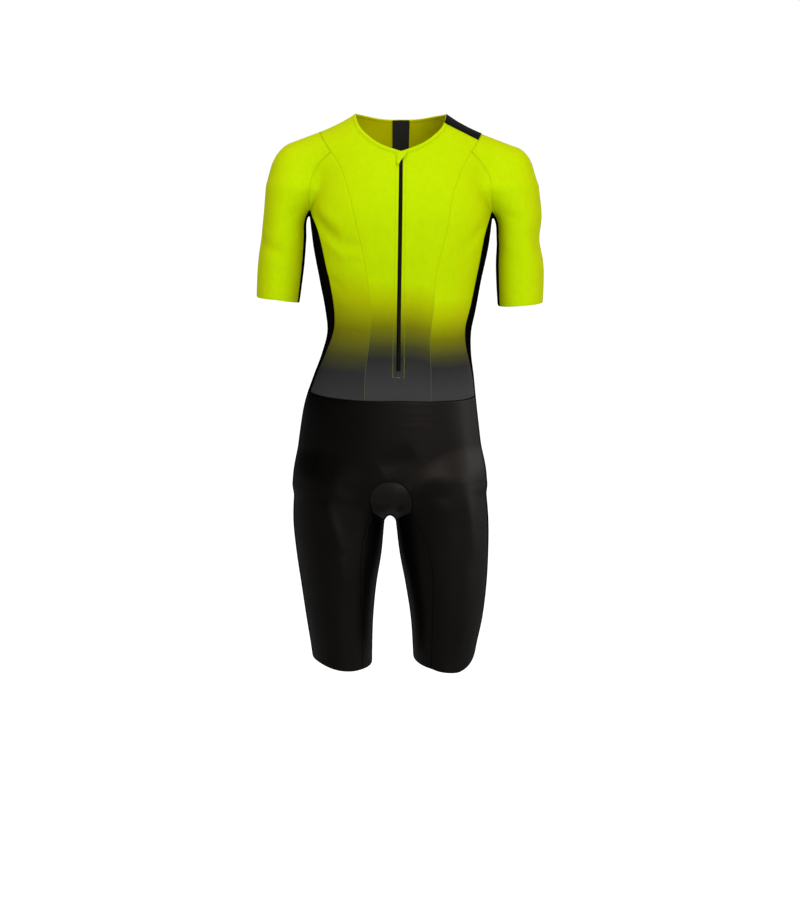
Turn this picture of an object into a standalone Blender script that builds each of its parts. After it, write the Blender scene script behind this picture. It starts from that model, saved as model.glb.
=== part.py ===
"""A short-sleeved one-piece triathlon suit, open at the neck, cuffs and hems, standing out as worn.

Metres, +Z up. The origin is midway between the high points of the shoulders, -Y is the front and
+X is the wearer's left. One smooth figure gives the room inside the suit. Seams are lines of pins
on that figure, and each cut piece is a closed wall of cloth between its seams.
"""

from collections import namedtuple

import bpy
import numpy as np

MM = 0.001

# ---- Driving dimensions, in millimetres ----

CLOTH = 1.5            # wall of a body, sleeve or leg piece
BINDING = 2.4          # wall of the folded strip round the neck
TRIM = 1.0             # wall of the bare shoulder band, the neck tape and the zip's tapes
SEAM_GAP = 0.3         # clear space between two pieces at a seam, and between two layers
BINDING_WIDTH = 6.5
ZIP_SLOT_HALF = 3.3
ZIP_TAPE_WIDTH = 12
TEETH_HALF = 2.3
TEETH = 1.8
NECK_TAPE_HALF = 15.5
NECK_TAPE_ROWS = 5
ARMPIT_EASE = 1.6      # rows of cells crowd towards the armpit, where the cloth turns sharply
FITTING_STEP = 0.2
EVENING_ROUNDS = 12    # times that a panel's points are drawn to the middle of those around them

# ---- The figure: sections by height for the trunk, arms and legs ----

Trunk = namedtuple("Trunk", "z centre_x half_width front back square")
TRUNK = (
    Trunk(30, 0, 38, 30, 48, 2.0),
    Trunk(0, 0, 66.5, 44, 66, 2.0),
    Trunk(-40, 0, 110, 64, 91, 2.1),
    Trunk(-80, 0, 135, 84, 108, 2.2),
    Trunk(-120, 0, 149, 101, 117, 2.3),
    Trunk(-167, 0, 157.5, 114, 120, 2.3),
    Trunk(-216, 0, 154, 117, 114, 2.2),
    Trunk(-291, -1, 140, 110, 98, 2.2),
    Trunk(-341, -1, 131, 105, 86, 2.2),
    Trunk(-376, -3, 126, 103, 80, 2.2),
    Trunk(-416, -8, 131, 103, 80, 2.2),
    Trunk(-456, -13, 141, 104, 85, 2.25),
    Trunk(-496, -18, 150, 104, 93, 2.25),
    Trunk(-556, -20, 159, 104, 108, 2.25),
    Trunk(-616, -20, 166, 102, 119, 2.25),
    Trunk(-681, -20, 172, 98, 119, 2.25),
    Trunk(-751, -20, 172, 92, 108, 2.25),
)
CROTCH_TOP, CROTCH_HEIGHT = -645, 57

Limb = namedtuple("Limb", "z centre_x centre_y half_width half_depth square")
ARM_RIGHT = (
    Limb(-130, -184, 6, 51.5, 62, 2.0),
    Limb(-175, -201.5, 5, 38, 60, 2.0),
    Limb(-216, -205.5, 4, 39, 58, 2.0),
    Limb(-259, -210, 3, 40, 56, 2.0),
    Limb(-301, -214, 2, 38.5, 54, 2.0),
    Limb(-336, -217, 1, 36.5, 53, 2.0),
)
ARM_LEFT = (
    Limb(-130, 181.5, 6, 59, 62, 2.0),
    Limb(-175, 203.5, 5, 41.5, 60, 2.0),
    Limb(-216, 205, 4, 37, 58, 2.0),
    Limb(-259, 208, 3, 41, 56, 2.0),
    Limb(-301, 209, 2, 40.5, 54, 2.0),
    Limb(-336, 209.5, 1, 38.5, 53, 2.0),
)
ARM_TOP, ARM_CAP, ARM_END = -130, 38.5, -355
LEG_RIGHT = (
    Limb(-560, -97, 8, 80, 98, 2.2),
    Limb(-650, -105, 8, 84, 104, 2.2),
    Limb(-716, -111, 7, 81, 99, 2.1),
    Limb(-774, -111, 4, 75.5, 94, 2.0),
    Limb(-833, -111.5, 1, 66.5, 86, 2.0),
    Limb(-892, -110, -2, 59.5, 78, 2.0),
    Limb(-951, -106.5, -4, 54, 71, 2.0),
    Limb(-1001, -104, -5, 51, 68, 2.0),
)
LEG_LEFT = (
    Limb(-560, 57, 8, 80, 98, 2.2),
    Limb(-650, 66, 8, 84, 104, 2.2),
    Limb(-716, 73.5, 7, 82.5, 99, 2.1),
    Limb(-774, 77, 4, 79, 94, 2.0),
    Limb(-833, 81, 1, 72, 86, 2.0),
    Limb(-892, 82, -2, 64, 78, 2.0),
    Limb(-951, 78, -4, 56, 71, 2.0),
    Limb(-1001, 76, -5, 52, 68, 2.0),
)
LEG_TOP, LEG_CAP = -640, 90

# The slope from the neck to the point of the shoulder is a rounded cone on each side.
Slope = namedtuple("Slope", "inner_x inner_z inner_radius outer_x outer_z outer_radius y")
SHOULDER_SLOPES = (
    Slope(-50, -54, 53, -175.5, -91.5, 44.5, 8),
    Slope(50, -65.5, 62, 188, -91, 36, 8),
)

# How softly the forms run into each other.
SHOULDER_BLEND, ARMPIT_BLEND, LEG_BLEND = 38.5, 12, 16
SHOULDER_BLEND_FROM, SHOULDER_BLEND_OVER = -155, 70

# The largest folds: a soft ridge, or a trough where the height is negative, from one end to the
# other.
Fold = namedtuple("Fold", "x0 y0 z0 x1 y1 z1 width height")
FOLDS = (
    Fold(-138, -72, -196, -88, -112, -236, 12, -2.5),
    Fold(-128, -82, -216, -74, -116, -262, 12, 2.5),
    Fold(142, -66, -204, 96, -106, -240, 12, -2.5),
    Fold(132, 84, -206, 70, 112, -262, 14, -3.0),
    Fold(-134, 84, -200, -76, 112, -250, 14, -3.0),
    Fold(-96, 76, -372, -8, 84, -381, 13, -3.0),
    Fold(88, 76, -366, 22, 84, -398, 13, -3.0),
    Fold(-104, 78, -402, -30, 84, -410, 13, 2.5),
    Fold(-104, 104, -694, -66, 98, -716, 13, -3.5),
    Fold(70, 104, -692, 34, 98, -720, 13, -3.5),
    Fold(-250, -8, -212, -214, -54, -236, 11, -2.5),
    Fold(243, 6, -214, 214, 56, -232, 11, -2.5),
)


def smooth(at, values, wanted):
    """A smooth curve through values given at rising places, read at the wanted places."""
    slope = np.gradient(values, at, axis=0)
    span = np.clip(np.searchsorted(at, wanted, side="right") - 1, 0, len(at) - 2)
    length = (at[span + 1] - at[span])[:, None]
    t = (wanted - at[span])[:, None] / length
    ahead = t * t * (3 - 2 * t)
    return (
        (1 - ahead) * values[span]
        + ahead * values[span + 1]
        + length * t * (1 - t) ** 2 * slope[span]
        - length * t * t * (1 - t) * slope[span + 1]
    )


def ladder(sections):
    """Heights every millimetre, and the sections' columns at each."""
    rows = np.array(sections, float)[::-1]
    heights = np.arange(rows[0, 0], rows[-1, 0] + 1)
    return heights, smooth(rows[:, 0], rows[:, 1:], heights)


LADDERS = {
    "trunk": ladder(TRUNK),
    "arm_right": ladder(ARM_RIGHT),
    "arm_left": ladder(ARM_LEFT),
    "leg_right": ladder(LEG_RIGHT),
    "leg_left": ladder(LEG_LEFT),
}


def section(name, z):
    heights, columns = LADDERS[name]
    return [np.interp(z, heights, column) for column in columns.T]


def beyond(dx, dy, dz, wide, deep, tall, square):
    """How far a point lies outside a squarish oval, along the line from its centre."""
    flat = (np.abs(dx / wide) + 1e-9) ** square + (np.abs(dy / deep) + 1e-9) ** square
    reach = np.sqrt(flat ** (2 / square) + (dz / tall) ** 2)
    length = np.sqrt(dx * dx + dy * dy + dz * dz) + 1e-9
    return length * (1 - 1 / np.maximum(reach, 1e-3))


def outside_trunk(x, y, z):
    centre_x, half_width, front, back, square = section("trunk", z)
    below = np.minimum(z - CROTCH_TOP, 0)
    return beyond(x - centre_x, y, below, half_width, np.where(y < 0, front, back), CROTCH_HEIGHT, square)


def outside_limb(name, x, y, z, top, cap):
    centre_x, centre_y, half_width, half_depth, square = section(name, np.minimum(z, top))
    above = np.maximum(z - top, 0)
    return beyond(x - centre_x, y - centre_y, above, half_width, half_depth, cap, square)


def outside_slope(s, x, y, z):
    run, fall = s.outer_x - s.inner_x, s.outer_z - s.inner_z
    t = np.clip(((x - s.inner_x) * run + (z - s.inner_z) * fall) / (run**2 + fall**2), 0, 1)
    dx, dz = x - s.inner_x - t * run, z - s.inner_z - t * fall
    return np.sqrt(dx**2 + (y - s.y) ** 2 + dz**2) - s.inner_radius - t * (s.outer_radius - s.inner_radius)


def melt(a, b, softness):
    near = np.maximum(softness - np.abs(a - b), 0) / softness
    return np.minimum(a, b) - near * near * softness / 4


def fold_height(points):
    total = np.zeros(len(points))
    for fold in FOLDS:
        start, end = np.array(fold[0:3]), np.array(fold[3:6])
        along = end - start
        t = np.clip((points - start) @ along / (along @ along), 0, 1)
        away = points - start - t[:, None] * along
        total += fold.height * np.exp(-(away * away).sum(1) / fold.width**2)
    return total


def outside(points):
    """Millimetres outside the figure, roughly; nought on its surface, and less inside."""
    x, y, z = points.T
    high = np.clip((z - SHOULDER_BLEND_FROM) / SHOULDER_BLEND_OVER, 0, 1)
    softness = ARMPIT_BLEND + high * (SHOULDER_BLEND - ARMPIT_BLEND)
    slopes = np.minimum(*(outside_slope(slope, x, y, z) for slope in SHOULDER_SLOPES))
    body = melt(outside_trunk(x, y, z), slopes, softness)
    arms = np.minimum(
        outside_limb("arm_right", x, y, z, ARM_TOP, ARM_CAP),
        outside_limb("arm_left", x, y, z, ARM_TOP, ARM_CAP),
    )
    arms = np.maximum(arms, ARM_END - z)
    body = melt(body, arms, softness)
    legs = np.minimum(
        outside_limb("leg_right", x, y, z, LEG_TOP, LEG_CAP),
        outside_limb("leg_left", x, y, z, LEG_TOP, LEG_CAP),
    )
    return melt(body, legs, LEG_BLEND) - fold_height(points)


def steepest(points):
    columns = []
    for axis in np.eye(3) * FITTING_STEP:
        columns.append((outside(points + axis) - outside(points - axis)) / (2 * FITTING_STEP))
    return np.stack(columns, 1)


def fitted(points, rounds=10):
    """The points moved straight on to the figure."""
    shape = np.shape(points)
    points = np.array(points, float).reshape(-1, 3)
    for _ in range(rounds):
        slope = steepest(points)
        points -= (outside(points) / np.maximum((slope * slope).sum(1), 0.05))[:, None] * slope
    return points.reshape(shape)


def outward(points):
    """The unit direction out of the cloth at each point."""
    slope = steepest(points.reshape(-1, 3))
    return (slope / np.linalg.norm(slope, axis=1, keepdims=True)).reshape(points.shape)


# ---- Seams: pins on the figure, and how many cells of cloth lie between one knot and the next ----

Pin = namedtuple("Pin", "x y z cells", defaults=(0,))


def mirrored(pins, shift=0):
    return tuple(pin._replace(x=shift - pin.x) for pin in pins)


def seam(pins, ease=1.0):
    """Points along a smooth line through the pins, as many as the cells between its knots ask."""
    per_pin = 16
    places = fitted(np.array([pin[:3] for pin in pins]))
    steps = np.linalg.norm(np.diff(places, axis=0), axis=1)
    at = np.concatenate([[0], np.cumsum(steps)])
    fine_at = np.interp(np.arange(per_pin * (len(pins) - 1) + 1) / per_pin, np.arange(len(pins)), at)
    fine = fitted(smooth(at, places, fine_at), 4)
    run = np.concatenate([[0], np.cumsum(np.linalg.norm(np.diff(fine, axis=0), axis=1))])
    found = [fine[:1]]
    begin = 0
    for index, pin in enumerate(pins):
        if not pin.cells:
            continue
        end = index * per_pin
        share = (np.arange(1, pin.cells + 1) / pin.cells) ** ease
        wanted = run[begin] + share * (run[end] - run[begin])
        found.append(np.stack([np.interp(wanted, run, column) for column in fine.T], 1))
        begin = end
    return fitted(np.concatenate(found))


def chain(*seams):
    """Seams that follow each other, as one line."""
    return np.concatenate([seams[0]] + [line[1:] for line in seams[1:]])


BAND_CELLS = 1
NECK_FRONT = (
    Pin(-82.5, -6, -5),
    Pin(-79, -37, -19, BAND_CELLS),
    Pin(-72, -50, -30),
    Pin(-61.5, -59.5, -40),
    Pin(-50, -66, -49),
    Pin(-37.5, -71.5, -56),
    Pin(-22.5, -75, -62),
    Pin(-3, -79, -68, 5),
)
NECK_BACK = (
    Pin(-82.5, -6, -5),
    Pin(-80, 24, -4),
    Pin(-66, 48, -7),
    Pin(-38, 69, -12),
    Pin(-19, 74, -14),
    Pin(0, 75, -14, 5),
)
SHOULDER = (Pin(-82.5, -6, -5), Pin(-112, -5, -16), Pin(-141, 2, -30, 4))
BAND_EDGE = (Pin(-79, -37, -19), Pin(-112, -31, -35), Pin(-133, -27, -45, 4))
SLEEVE_TOP_FRONT = (
    Pin(-141, 2, -30),
    Pin(-133, -27, -45, BAND_CELLS),
    Pin(-128, -38, -53),
    Pin(-120, -47, -64, 2),
)
SLEEVE_TOP_BACK = (Pin(-141, 2, -30), Pin(-139, 31, -37), Pin(-124, 60, -66, 3))
SLEEVE_FRONT = (
    Pin(-120, -47, -64),
    Pin(-139, -44, -83),
    Pin(-153, -45, -108),
    Pin(-158, -48, -132),
    Pin(-159, -38, -150),
    Pin(-160, -20, -165, 5),
)
SLEEVE_BACK = (
    Pin(-124, 60, -66),
    Pin(-139, 60, -90),
    Pin(-153, 58, -112),
    Pin(-157, 57, -134),
    Pin(-159, 44, -152),
    Pin(-160, 26, -166, 5),
)
ARMPIT = (Pin(-160, -20, -165), Pin(-160, 3, -174), Pin(-160, 26, -166, 4))
PRINCESS_RIGHT = (
    Pin(-120, -47, -64),
    Pin(-104, -64, -88),
    Pin(-92, -86, -121),
    Pin(-76, -106, -185),
    Pin(-58, -105, -273),
    Pin(-52, -100, -341),
    Pin(-54, -97, -380),
    Pin(-62, -99, -450),
    Pin(-63, -100, -488, 16),
)
PRINCESS_LEFT = (
    Pin(120, -47, -64),
    Pin(99, -75, -105),
    Pin(86, -96, -145),
    Pin(78, -105, -195),
    Pin(61, -105, -263),
    Pin(55, -99, -335),
    Pin(50, -96, -385),
    Pin(51, -95, -430),
    Pin(52, -96, -490, 16),
)
SIDE_FRONT_RIGHT = (
    Pin(-160, -20, -165),
    Pin(-155, -37, -177),
    Pin(-147, -50, -192),
    Pin(-139, -59, -220),
    Pin(-131, -61, -256),
    Pin(-119, -61, -318),
    Pin(-116, -55, -356),
    Pin(-124, -41, -395),
    Pin(-140, -31, -438),
    Pin(-157, -30, -482, 16),
)
SIDE_FRONT_LEFT = (
    Pin(160, -20, -165),
    Pin(155, -34, -177),
    Pin(149, -46, -194),
    Pin(142, -52, -220),
    Pin(134, -50, -266),
    Pin(122, -50, -325),
    Pin(112, -52, -365),
    Pin(112, -43, -400),
    Pin(119, -28, -440),
    Pin(126, -24, -490, 16),
)
SIDE_BACK_RIGHT = (
    Pin(-160, 26, -166),
    Pin(-155, 42, -178),
    Pin(-148, 53, -196),
    Pin(-139, 60, -226),
    Pin(-124, 62, -290),
    Pin(-116, 56, -345),
    Pin(-119, 46, -392),
    Pin(-136, 38, -436),
    Pin(-154, 36, -481, 16),
)
SIDE_BACK_LEFT = (
    Pin(160, 26, -166),
    Pin(155, 42, -178),
    Pin(148, 53, -196),
    Pin(138, 60, -226),
    Pin(122, 62, -290),
    Pin(111, 56, -345),
    Pin(109, 46, -392),
    Pin(114, 38, -436),
    Pin(123, 36, -489, 16),
)
CENTRE_BACK = (
    Pin(0, 75, -14),
    Pin(-1, 108, -80),
    Pin(-2, 119, -180),
    Pin(-4, 98, -300),
    Pin(-9, 79, -400),
    Pin(-22, 90, -485, 24),
)
SLOT_RIGHT = (
    Pin(-3, -79, -68),
    Pin(-4, -105, -140),
    Pin(-5.3, -117, -228),
    Pin(-7.3, -104, -365),
    Pin(-7.8, -103, -436, 16),
    Pin(-8.3, -104, -488, 2),
)
SLOT_LEFT = (
    Pin(3, -79, -68),
    Pin(2.4, -105, -140),
    Pin(1.3, -117, -228),
    Pin(-0.7, -104, -365),
    Pin(-1.2, -103, -436, 16),
    Pin(-1.7, -104, -488, 2),
)

# Lines of a sleeve from its armhole to its cuff: over the top, down the front and back, and on
# both sides of the strip under the arm.
SLEEVE_ROWS = 10
ARM_LINES_RIGHT = {
    "top": (Pin(-141, 2, -30), Pin(-187, 0, -49), Pin(-230, 4, -109), Pin(-241, 4, -190),
            Pin(-250, 3, -268), Pin(-252, 2, -316, SLEEVE_ROWS)),
    "front": (Pin(-120, -47, -64), Pin(-160, -43, -98), Pin(-186, -57, -140), Pin(-202, -54, -200),
              Pin(-210, -53, -260), Pin(-214, -52, -319, SLEEVE_ROWS)),
    "back": (Pin(-124, 60, -66), Pin(-160, 58, -101), Pin(-188, 67, -150), Pin(-202, 64, -200),
             Pin(-210, 60, -260), Pin(-214, 56, -321, SLEEVE_ROWS)),
    "under_front": (Pin(-160, -20, -165), Pin(-165, -22, -205), Pin(-169, -20, -250),
                    Pin(-177, -18, -326, SLEEVE_ROWS)),
    "under_back": (Pin(-160, 26, -166), Pin(-165, 28, -205), Pin(-169, 28, -250),
                   Pin(-177, 26, -327, SLEEVE_ROWS)),
}
ARM_LINES_LEFT = {
    "top": (Pin(141, 2, -30), Pin(187, -1, -54), Pin(234, 4, -108), Pin(244, 4, -190),
            Pin(249, 3, -268), Pin(249, 2, -326, SLEEVE_ROWS)),
    "front": (Pin(120, -47, -64), Pin(159, -42, -100), Pin(187, -57, -140), Pin(203, -54, -200),
              Pin(208, -53, -260), Pin(209, -52, -329, SLEEVE_ROWS)),
    "back": (Pin(124, 60, -66), Pin(159, 57, -102), Pin(188, 67, -150), Pin(203, 64, -200),
             Pin(208, 60, -260), Pin(209, 56, -330, SLEEVE_ROWS)),
    "under_front": (Pin(160, -20, -165), Pin(165, -22, -205), Pin(168, -20, -250),
                    Pin(171, -18, -332, SLEEVE_ROWS)),
    "under_back": (Pin(160, 26, -166), Pin(165, 28, -205), Pin(168, 28, -250),
                   Pin(171, 26, -332, SLEEVE_ROWS)),
}

# Cuffs and hems, each a ring from the front seam of its under strip round the outside and back.
CUFF_RIGHT = (
    Pin(-177, -18, -326),
    Pin(-190, -44, -323),
    Pin(-214, -52, -319, 5),
    Pin(-241, -38, -317),
    Pin(-252, 2, -316, 3),
    Pin(-241, 42, -318),
    Pin(-214, 56, -321, 3),
    Pin(-190, 46, -325),
    Pin(-177, 26, -327, 5),
    Pin(-174, 4, -327),
    Pin(-177, -18, -326, 4),
)
CUFF_LEFT = (
    Pin(171, -18, -332),
    Pin(184, -44, -331),
    Pin(209, -52, -329, 5),
    Pin(237, -38, -327),
    Pin(249, 2, -326, 3),
    Pin(237, 42, -328),
    Pin(209, 56, -330, 3),
    Pin(184, 46, -332),
    Pin(171, 26, -332, 5),
    Pin(168, 4, -332),
    Pin(171, -18, -332, 4),
)
HEM_RIGHT = (
    Pin(-69, -55, -976),
    Pin(-88, -71, -976),
    Pin(-108, -75, -974, 4),
    Pin(-142, -54, -965),
    Pin(-159, 4, -961, 4),
    Pin(-142, 47, -964),
    Pin(-107, 65, -970, 4),
    Pin(-87, 62, -973),
    Pin(-70, 46, -975, 4),
    Pin(-54, -4, -975),
    Pin(-69, -55, -976, 8),
)
HEM_LEFT = (
    Pin(54, -68, -972),
    Pin(68, -74, -976),
    Pin(82, -75, -978, 4),
    Pin(102, -66, -979),
    Pin(119, -50, -973),
    Pin(134, 4, -950, 4),
    Pin(117, 47, -953),
    Pin(78, 67, -961, 4),
    Pin(59, 61, -964),
    Pin(42, 48, -966, 4),
    Pin(24, -8, -964),
    Pin(54, -68, -972, 8),
)

# The seam round the waist, from the centre back past the wearer's right side, the front and the
# left side. The body's pieces and the shorts' pieces divide it at their own seams.
WaistPin = namedtuple("WaistPin", "x y z body shorts")
WAIST = (
    WaistPin(-22, 90, -485, 0, 0),
    WaistPin(-78, 85, -484, 0, 4),
    WaistPin(-128, 66, -482, 0, 0),
    WaistPin(-154, 36, -481, 9, 0),
    WaistPin(-161, 10, -481, 0, 4),
    WaistPin(-157, -30, -482, 4, 0),
    WaistPin(-128, -73, -485, 0, 0),
    WaistPin(-92, -92, -487, 0, 4),
    WaistPin(-63, -100, -488, 5, 0),
    WaistPin(-8.3, -104, -488, 9, 0),
    WaistPin(-5, -104, -488, 0, 4),
    WaistPin(-1.7, -104, -488, 1, 0),
    WaistPin(52, -96, -490, 9, 0),
    WaistPin(68, -91, -490, 0, 4),
    WaistPin(104, -66, -491, 0, 0),
    WaistPin(126, -24, -490, 5, 0),
    WaistPin(130, 10, -490, 0, 4),
    WaistPin(123, 36, -489, 4, 0),
    WaistPin(94, 67, -487, 0, 0),
    WaistPin(42, 85, -486, 0, 4),
    WaistPin(-22, 90, -485, 9, 4),
)

# Lines of the shorts from the waist to a hem. The middle knots are level with the top and the
# widest part of the gusset.
ABOVE_GUSSET, BESIDE_GUSSET, LEG_ROWS = 6, 5, 11
GUSSET_END, GUSSET_EDGE = 2, 3
LEG_LINES_RIGHT = {
    "centre_front": (Pin(-5, -104, -488), Pin(-9, -104, -560), Pin(-14, -102, -629, ABOVE_GUSSET)),
    "centre_back": (Pin(-22, 90, -485), Pin(-24, 108, -560), Pin(-23, 119, -632, ABOVE_GUSSET)),
    "mid_front": (Pin(-92, -92, -487), Pin(-102, -96, -545), Pin(-109, -97, -598, ABOVE_GUSSET),
                  Pin(-116, -94, -705, BESIDE_GUSSET), Pin(-117, -89, -785), Pin(-114, -80, -870),
                  Pin(-108, -75, -974, LEG_ROWS)),
    "mid_back": (Pin(-78, 85, -484), Pin(-91, 100, -545), Pin(-99, 111, -600, ABOVE_GUSSET),
                 Pin(-110, 109, -705, BESIDE_GUSSET), Pin(-114, 97, -785), Pin(-113, 82, -870),
                 Pin(-107, 65, -970, LEG_ROWS)),
    "side": (Pin(-161, 10, -481), Pin(-178, 12, -540), Pin(-185, 12, -594, ABOVE_GUSSET),
             Pin(-192, 12, -705, BESIDE_GUSSET), Pin(-186, 10, -785), Pin(-173, 7, -870),
             Pin(-159, 4, -961, LEG_ROWS)),
    "inner_front": (Pin(-50, -70, -689), Pin(-59, -72, -709), Pin(-68, -76, -748),
                    Pin(-70, -67, -830), Pin(-68, -56, -900), Pin(-69, -55, -976, LEG_ROWS)),
    "inner_back": (Pin(-54, 90, -684), Pin(-65, 88, -714), Pin(-69, 80, -750),
                   Pin(-69, 68, -830), Pin(-69, 52, -900), Pin(-70, 46, -975, LEG_ROWS)),
}
LEG_LINES_LEFT = {
    "mid_front": (Pin(68, -91, -490), Pin(68, -96, -545), Pin(72, -97, -598, ABOVE_GUSSET),
                  Pin(80, -94, -705, BESIDE_GUSSET), Pin(84, -89, -785), Pin(85, -80, -870),
                  Pin(82, -75, -978, LEG_ROWS)),
    "mid_back": (Pin(42, 85, -486), Pin(49, 100, -545), Pin(54, 111, -600, ABOVE_GUSSET),
                 Pin(68, 109, -705, BESIDE_GUSSET), Pin(78, 97, -785), Pin(82, 82, -870),
                 Pin(78, 67, -961, LEG_ROWS)),
    "side": (Pin(130, 10, -490), Pin(137, 12, -545), Pin(143, 12, -598, ABOVE_GUSSET),
             Pin(152, 12, -705, BESIDE_GUSSET), Pin(156, 10, -785), Pin(150, 7, -870),
             Pin(134, 4, -950, LEG_ROWS)),
    "inner_front": (Pin(17, -75, -689), Pin(27, -78, -704), Pin(41, -84, -730),
                    Pin(53, -85, -775), Pin(55, -73, -895), Pin(54, -68, -972, LEG_ROWS)),
    "inner_back": (Pin(14, 90, -684), Pin(26, 88, -714), Pin(33, 80, -750),
                   Pin(40, 71, -830), Pin(42, 56, -900), Pin(42, 48, -966, LEG_ROWS)),
}
# The flap over the top of the zip, and the slider under it.
GARAGE_TOP = (Pin(-10, -75, -61), Pin(1, -75, -61.5), Pin(12, -75, -61, 4))
GARAGE_BOTTOM = (Pin(-9, -88, -88), Pin(-2, -88, -89, 4))
GARAGE_SEWN = (Pin(-10, -75, -61), Pin(-9.5, -82, -74), Pin(-9, -88, -88, 3))
GARAGE_FREE = (Pin(12, -75, -61), Pin(6, -82, -73), Pin(-2, -88, -89, 3))
GARAGE_STEP = 1.5      # columns of the flap in which it rises over the slider
SliderRow = namedtuple("SliderRow", "z half_width")
SLIDER_Y = -84
SLIDER = (
    SliderRow(-70.5, 2.4),
    SliderRow(-72.0, 3.2),
    SliderRow(-76.0, 3.2),
    SliderRow(-79.5, 2.2),
)
SLIDER_THICK = 2.4

UNDER_CELLS = 8
GUSSET_RIGHT = (
    Pin(-14, -102, -629),
    Pin(-32, -101, -630.5),
    Pin(-47, -100, -640, GUSSET_END),
    Pin(-55, -95, -659),
    Pin(-53, -84, -676),
    Pin(-50, -70, -689, GUSSET_EDGE),
)
GUSSET_LEFT = (
    Pin(-14, -102, -629),
    Pin(0, -101, -633),
    Pin(12, -99, -646, GUSSET_END),
    Pin(19, -94, -661),
    Pin(20, -85, -675),
    Pin(17, -75, -689, GUSSET_EDGE),
)
UNDER_RIGHT = (
    Pin(-50, -70, -689),
    Pin(-43, -59, -696),
    Pin(-33, -28, -709),
    Pin(-31, 25, -717),
    Pin(-43, 60, -704),
    Pin(-54, 90, -684, UNDER_CELLS),
)
UNDER_LEFT = (
    Pin(17, -75, -689),
    Pin(6, -60, -696),
    Pin(-6, -27, -709),
    Pin(-8, 25, -717),
    Pin(3, 60, -704),
    Pin(14, 90, -684, UNDER_CELLS),
)
GUSSET_BACK_RIGHT = (
    Pin(-23, 119, -632),
    Pin(-40, 118, -636),
    Pin(-50, 116, -646, GUSSET_END),
    Pin(-58, 108, -668),
    Pin(-54, 90, -684, GUSSET_EDGE),
)
GUSSET_BACK_LEFT = (
    Pin(-23, 119, -632),
    Pin(-4, 118, -636),
    Pin(8, 116, -646, GUSSET_END),
    Pin(18, 108, -668),
    Pin(14, 90, -684, GUSSET_EDGE),
)


# ---- Panels: grids of points between four seams, and walls of cloth on them ----

def panel(top, bottom, left, right):
    """A grid of rows from the top seam to the bottom one, evened out on the figure."""
    across = np.linspace(0, 1, len(top))[None, :, None]
    down = np.linspace(0, 1, len(left))[:, None, None]
    between_ends = (1 - down) * top[None] + down * bottom[None]
    between_sides = (1 - across) * left[:, None] + across * right[:, None]
    corners = (1 - down) * ((1 - across) * top[0] + across * top[-1]) + down * (
        (1 - across) * bottom[0] + across * bottom[-1]
    )
    grid = between_ends + between_sides - corners
    for _ in range(EVENING_ROUNDS):
        grid = fitted(grid, 2)
        grid[0], grid[-1], grid[:, 0], grid[:, -1] = top, bottom, left, right
        around = grid[:-2, 1:-1] + grid[2:, 1:-1] + grid[1:-1, :-2] + grid[1:-1, 2:]
        grid[1:-1, 1:-1] = around / 4
    grid[1:-1, 1:-1] = fitted(grid[1:-1, 1:-1])
    return grid


def lifted(grid, heights):
    """The grid moved off the figure, by a height at each point."""
    return grid + outward(grid) * np.broadcast_to(heights, grid.shape[:2])[..., None]


def joined(grids):
    """The points of the grids, merged where they meet, and triangles on them turned outward.

    Each cell is cut along its shorter diagonal.
    """
    numbers, points, triangles = {}, [], []
    for grid in grids:
        turn, found = 0.0, []
        normals = outward(grid)
        for row in range(grid.shape[0] - 1):
            for column in range(grid.shape[1] - 1):
                ring = ((row, column), (row + 1, column), (row + 1, column + 1), (row, column + 1))
                corners = [grid[place] for place in ring]
                one_way, other_way = corners[2] - corners[0], corners[3] - corners[1]
                turn += np.cross(one_way, other_way) @ normals[ring[0]]
                keys = [tuple(np.round(corner, 2)) for corner in corners]
                for key, corner in zip(keys, corners):
                    if key not in numbers:
                        numbers[key] = len(points)
                        points.append(corner)
                a, b, c, d = (numbers[key] for key in keys)
                if one_way @ one_way < other_way @ other_way:
                    found += [(a, b, c), (a, c, d)]
                else:
                    found += [(a, b, d), (b, c, d)]
        triangles += found if turn > 0 else [triangle[::-1] for triangle in found]
    return np.array(points), triangles


def free_edges(triangles):
    """The edges that only one triangle has, in the order that its corners have."""
    edges = {(corners[i - 1], corners[i]) for corners in triangles for i in range(3)}
    return [edge for edge in edges if edge[::-1] not in edges]


def trimmed(points, normals, edges):
    """The points with every free edge drawn in by half the gap at a seam."""
    turns = {}
    for first, second in edges:
        for corner in (first, second):
            turn = np.cross(normals[corner], points[second] - points[first])
            turns.setdefault(corner, []).append(turn / np.linalg.norm(turn))
    moved = points.copy()
    for corner, pair in turns.items():
        total = sum(pair)
        moved[corner] += total * SEAM_GAP / max(total @ total, 0.3)
    return moved


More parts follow.
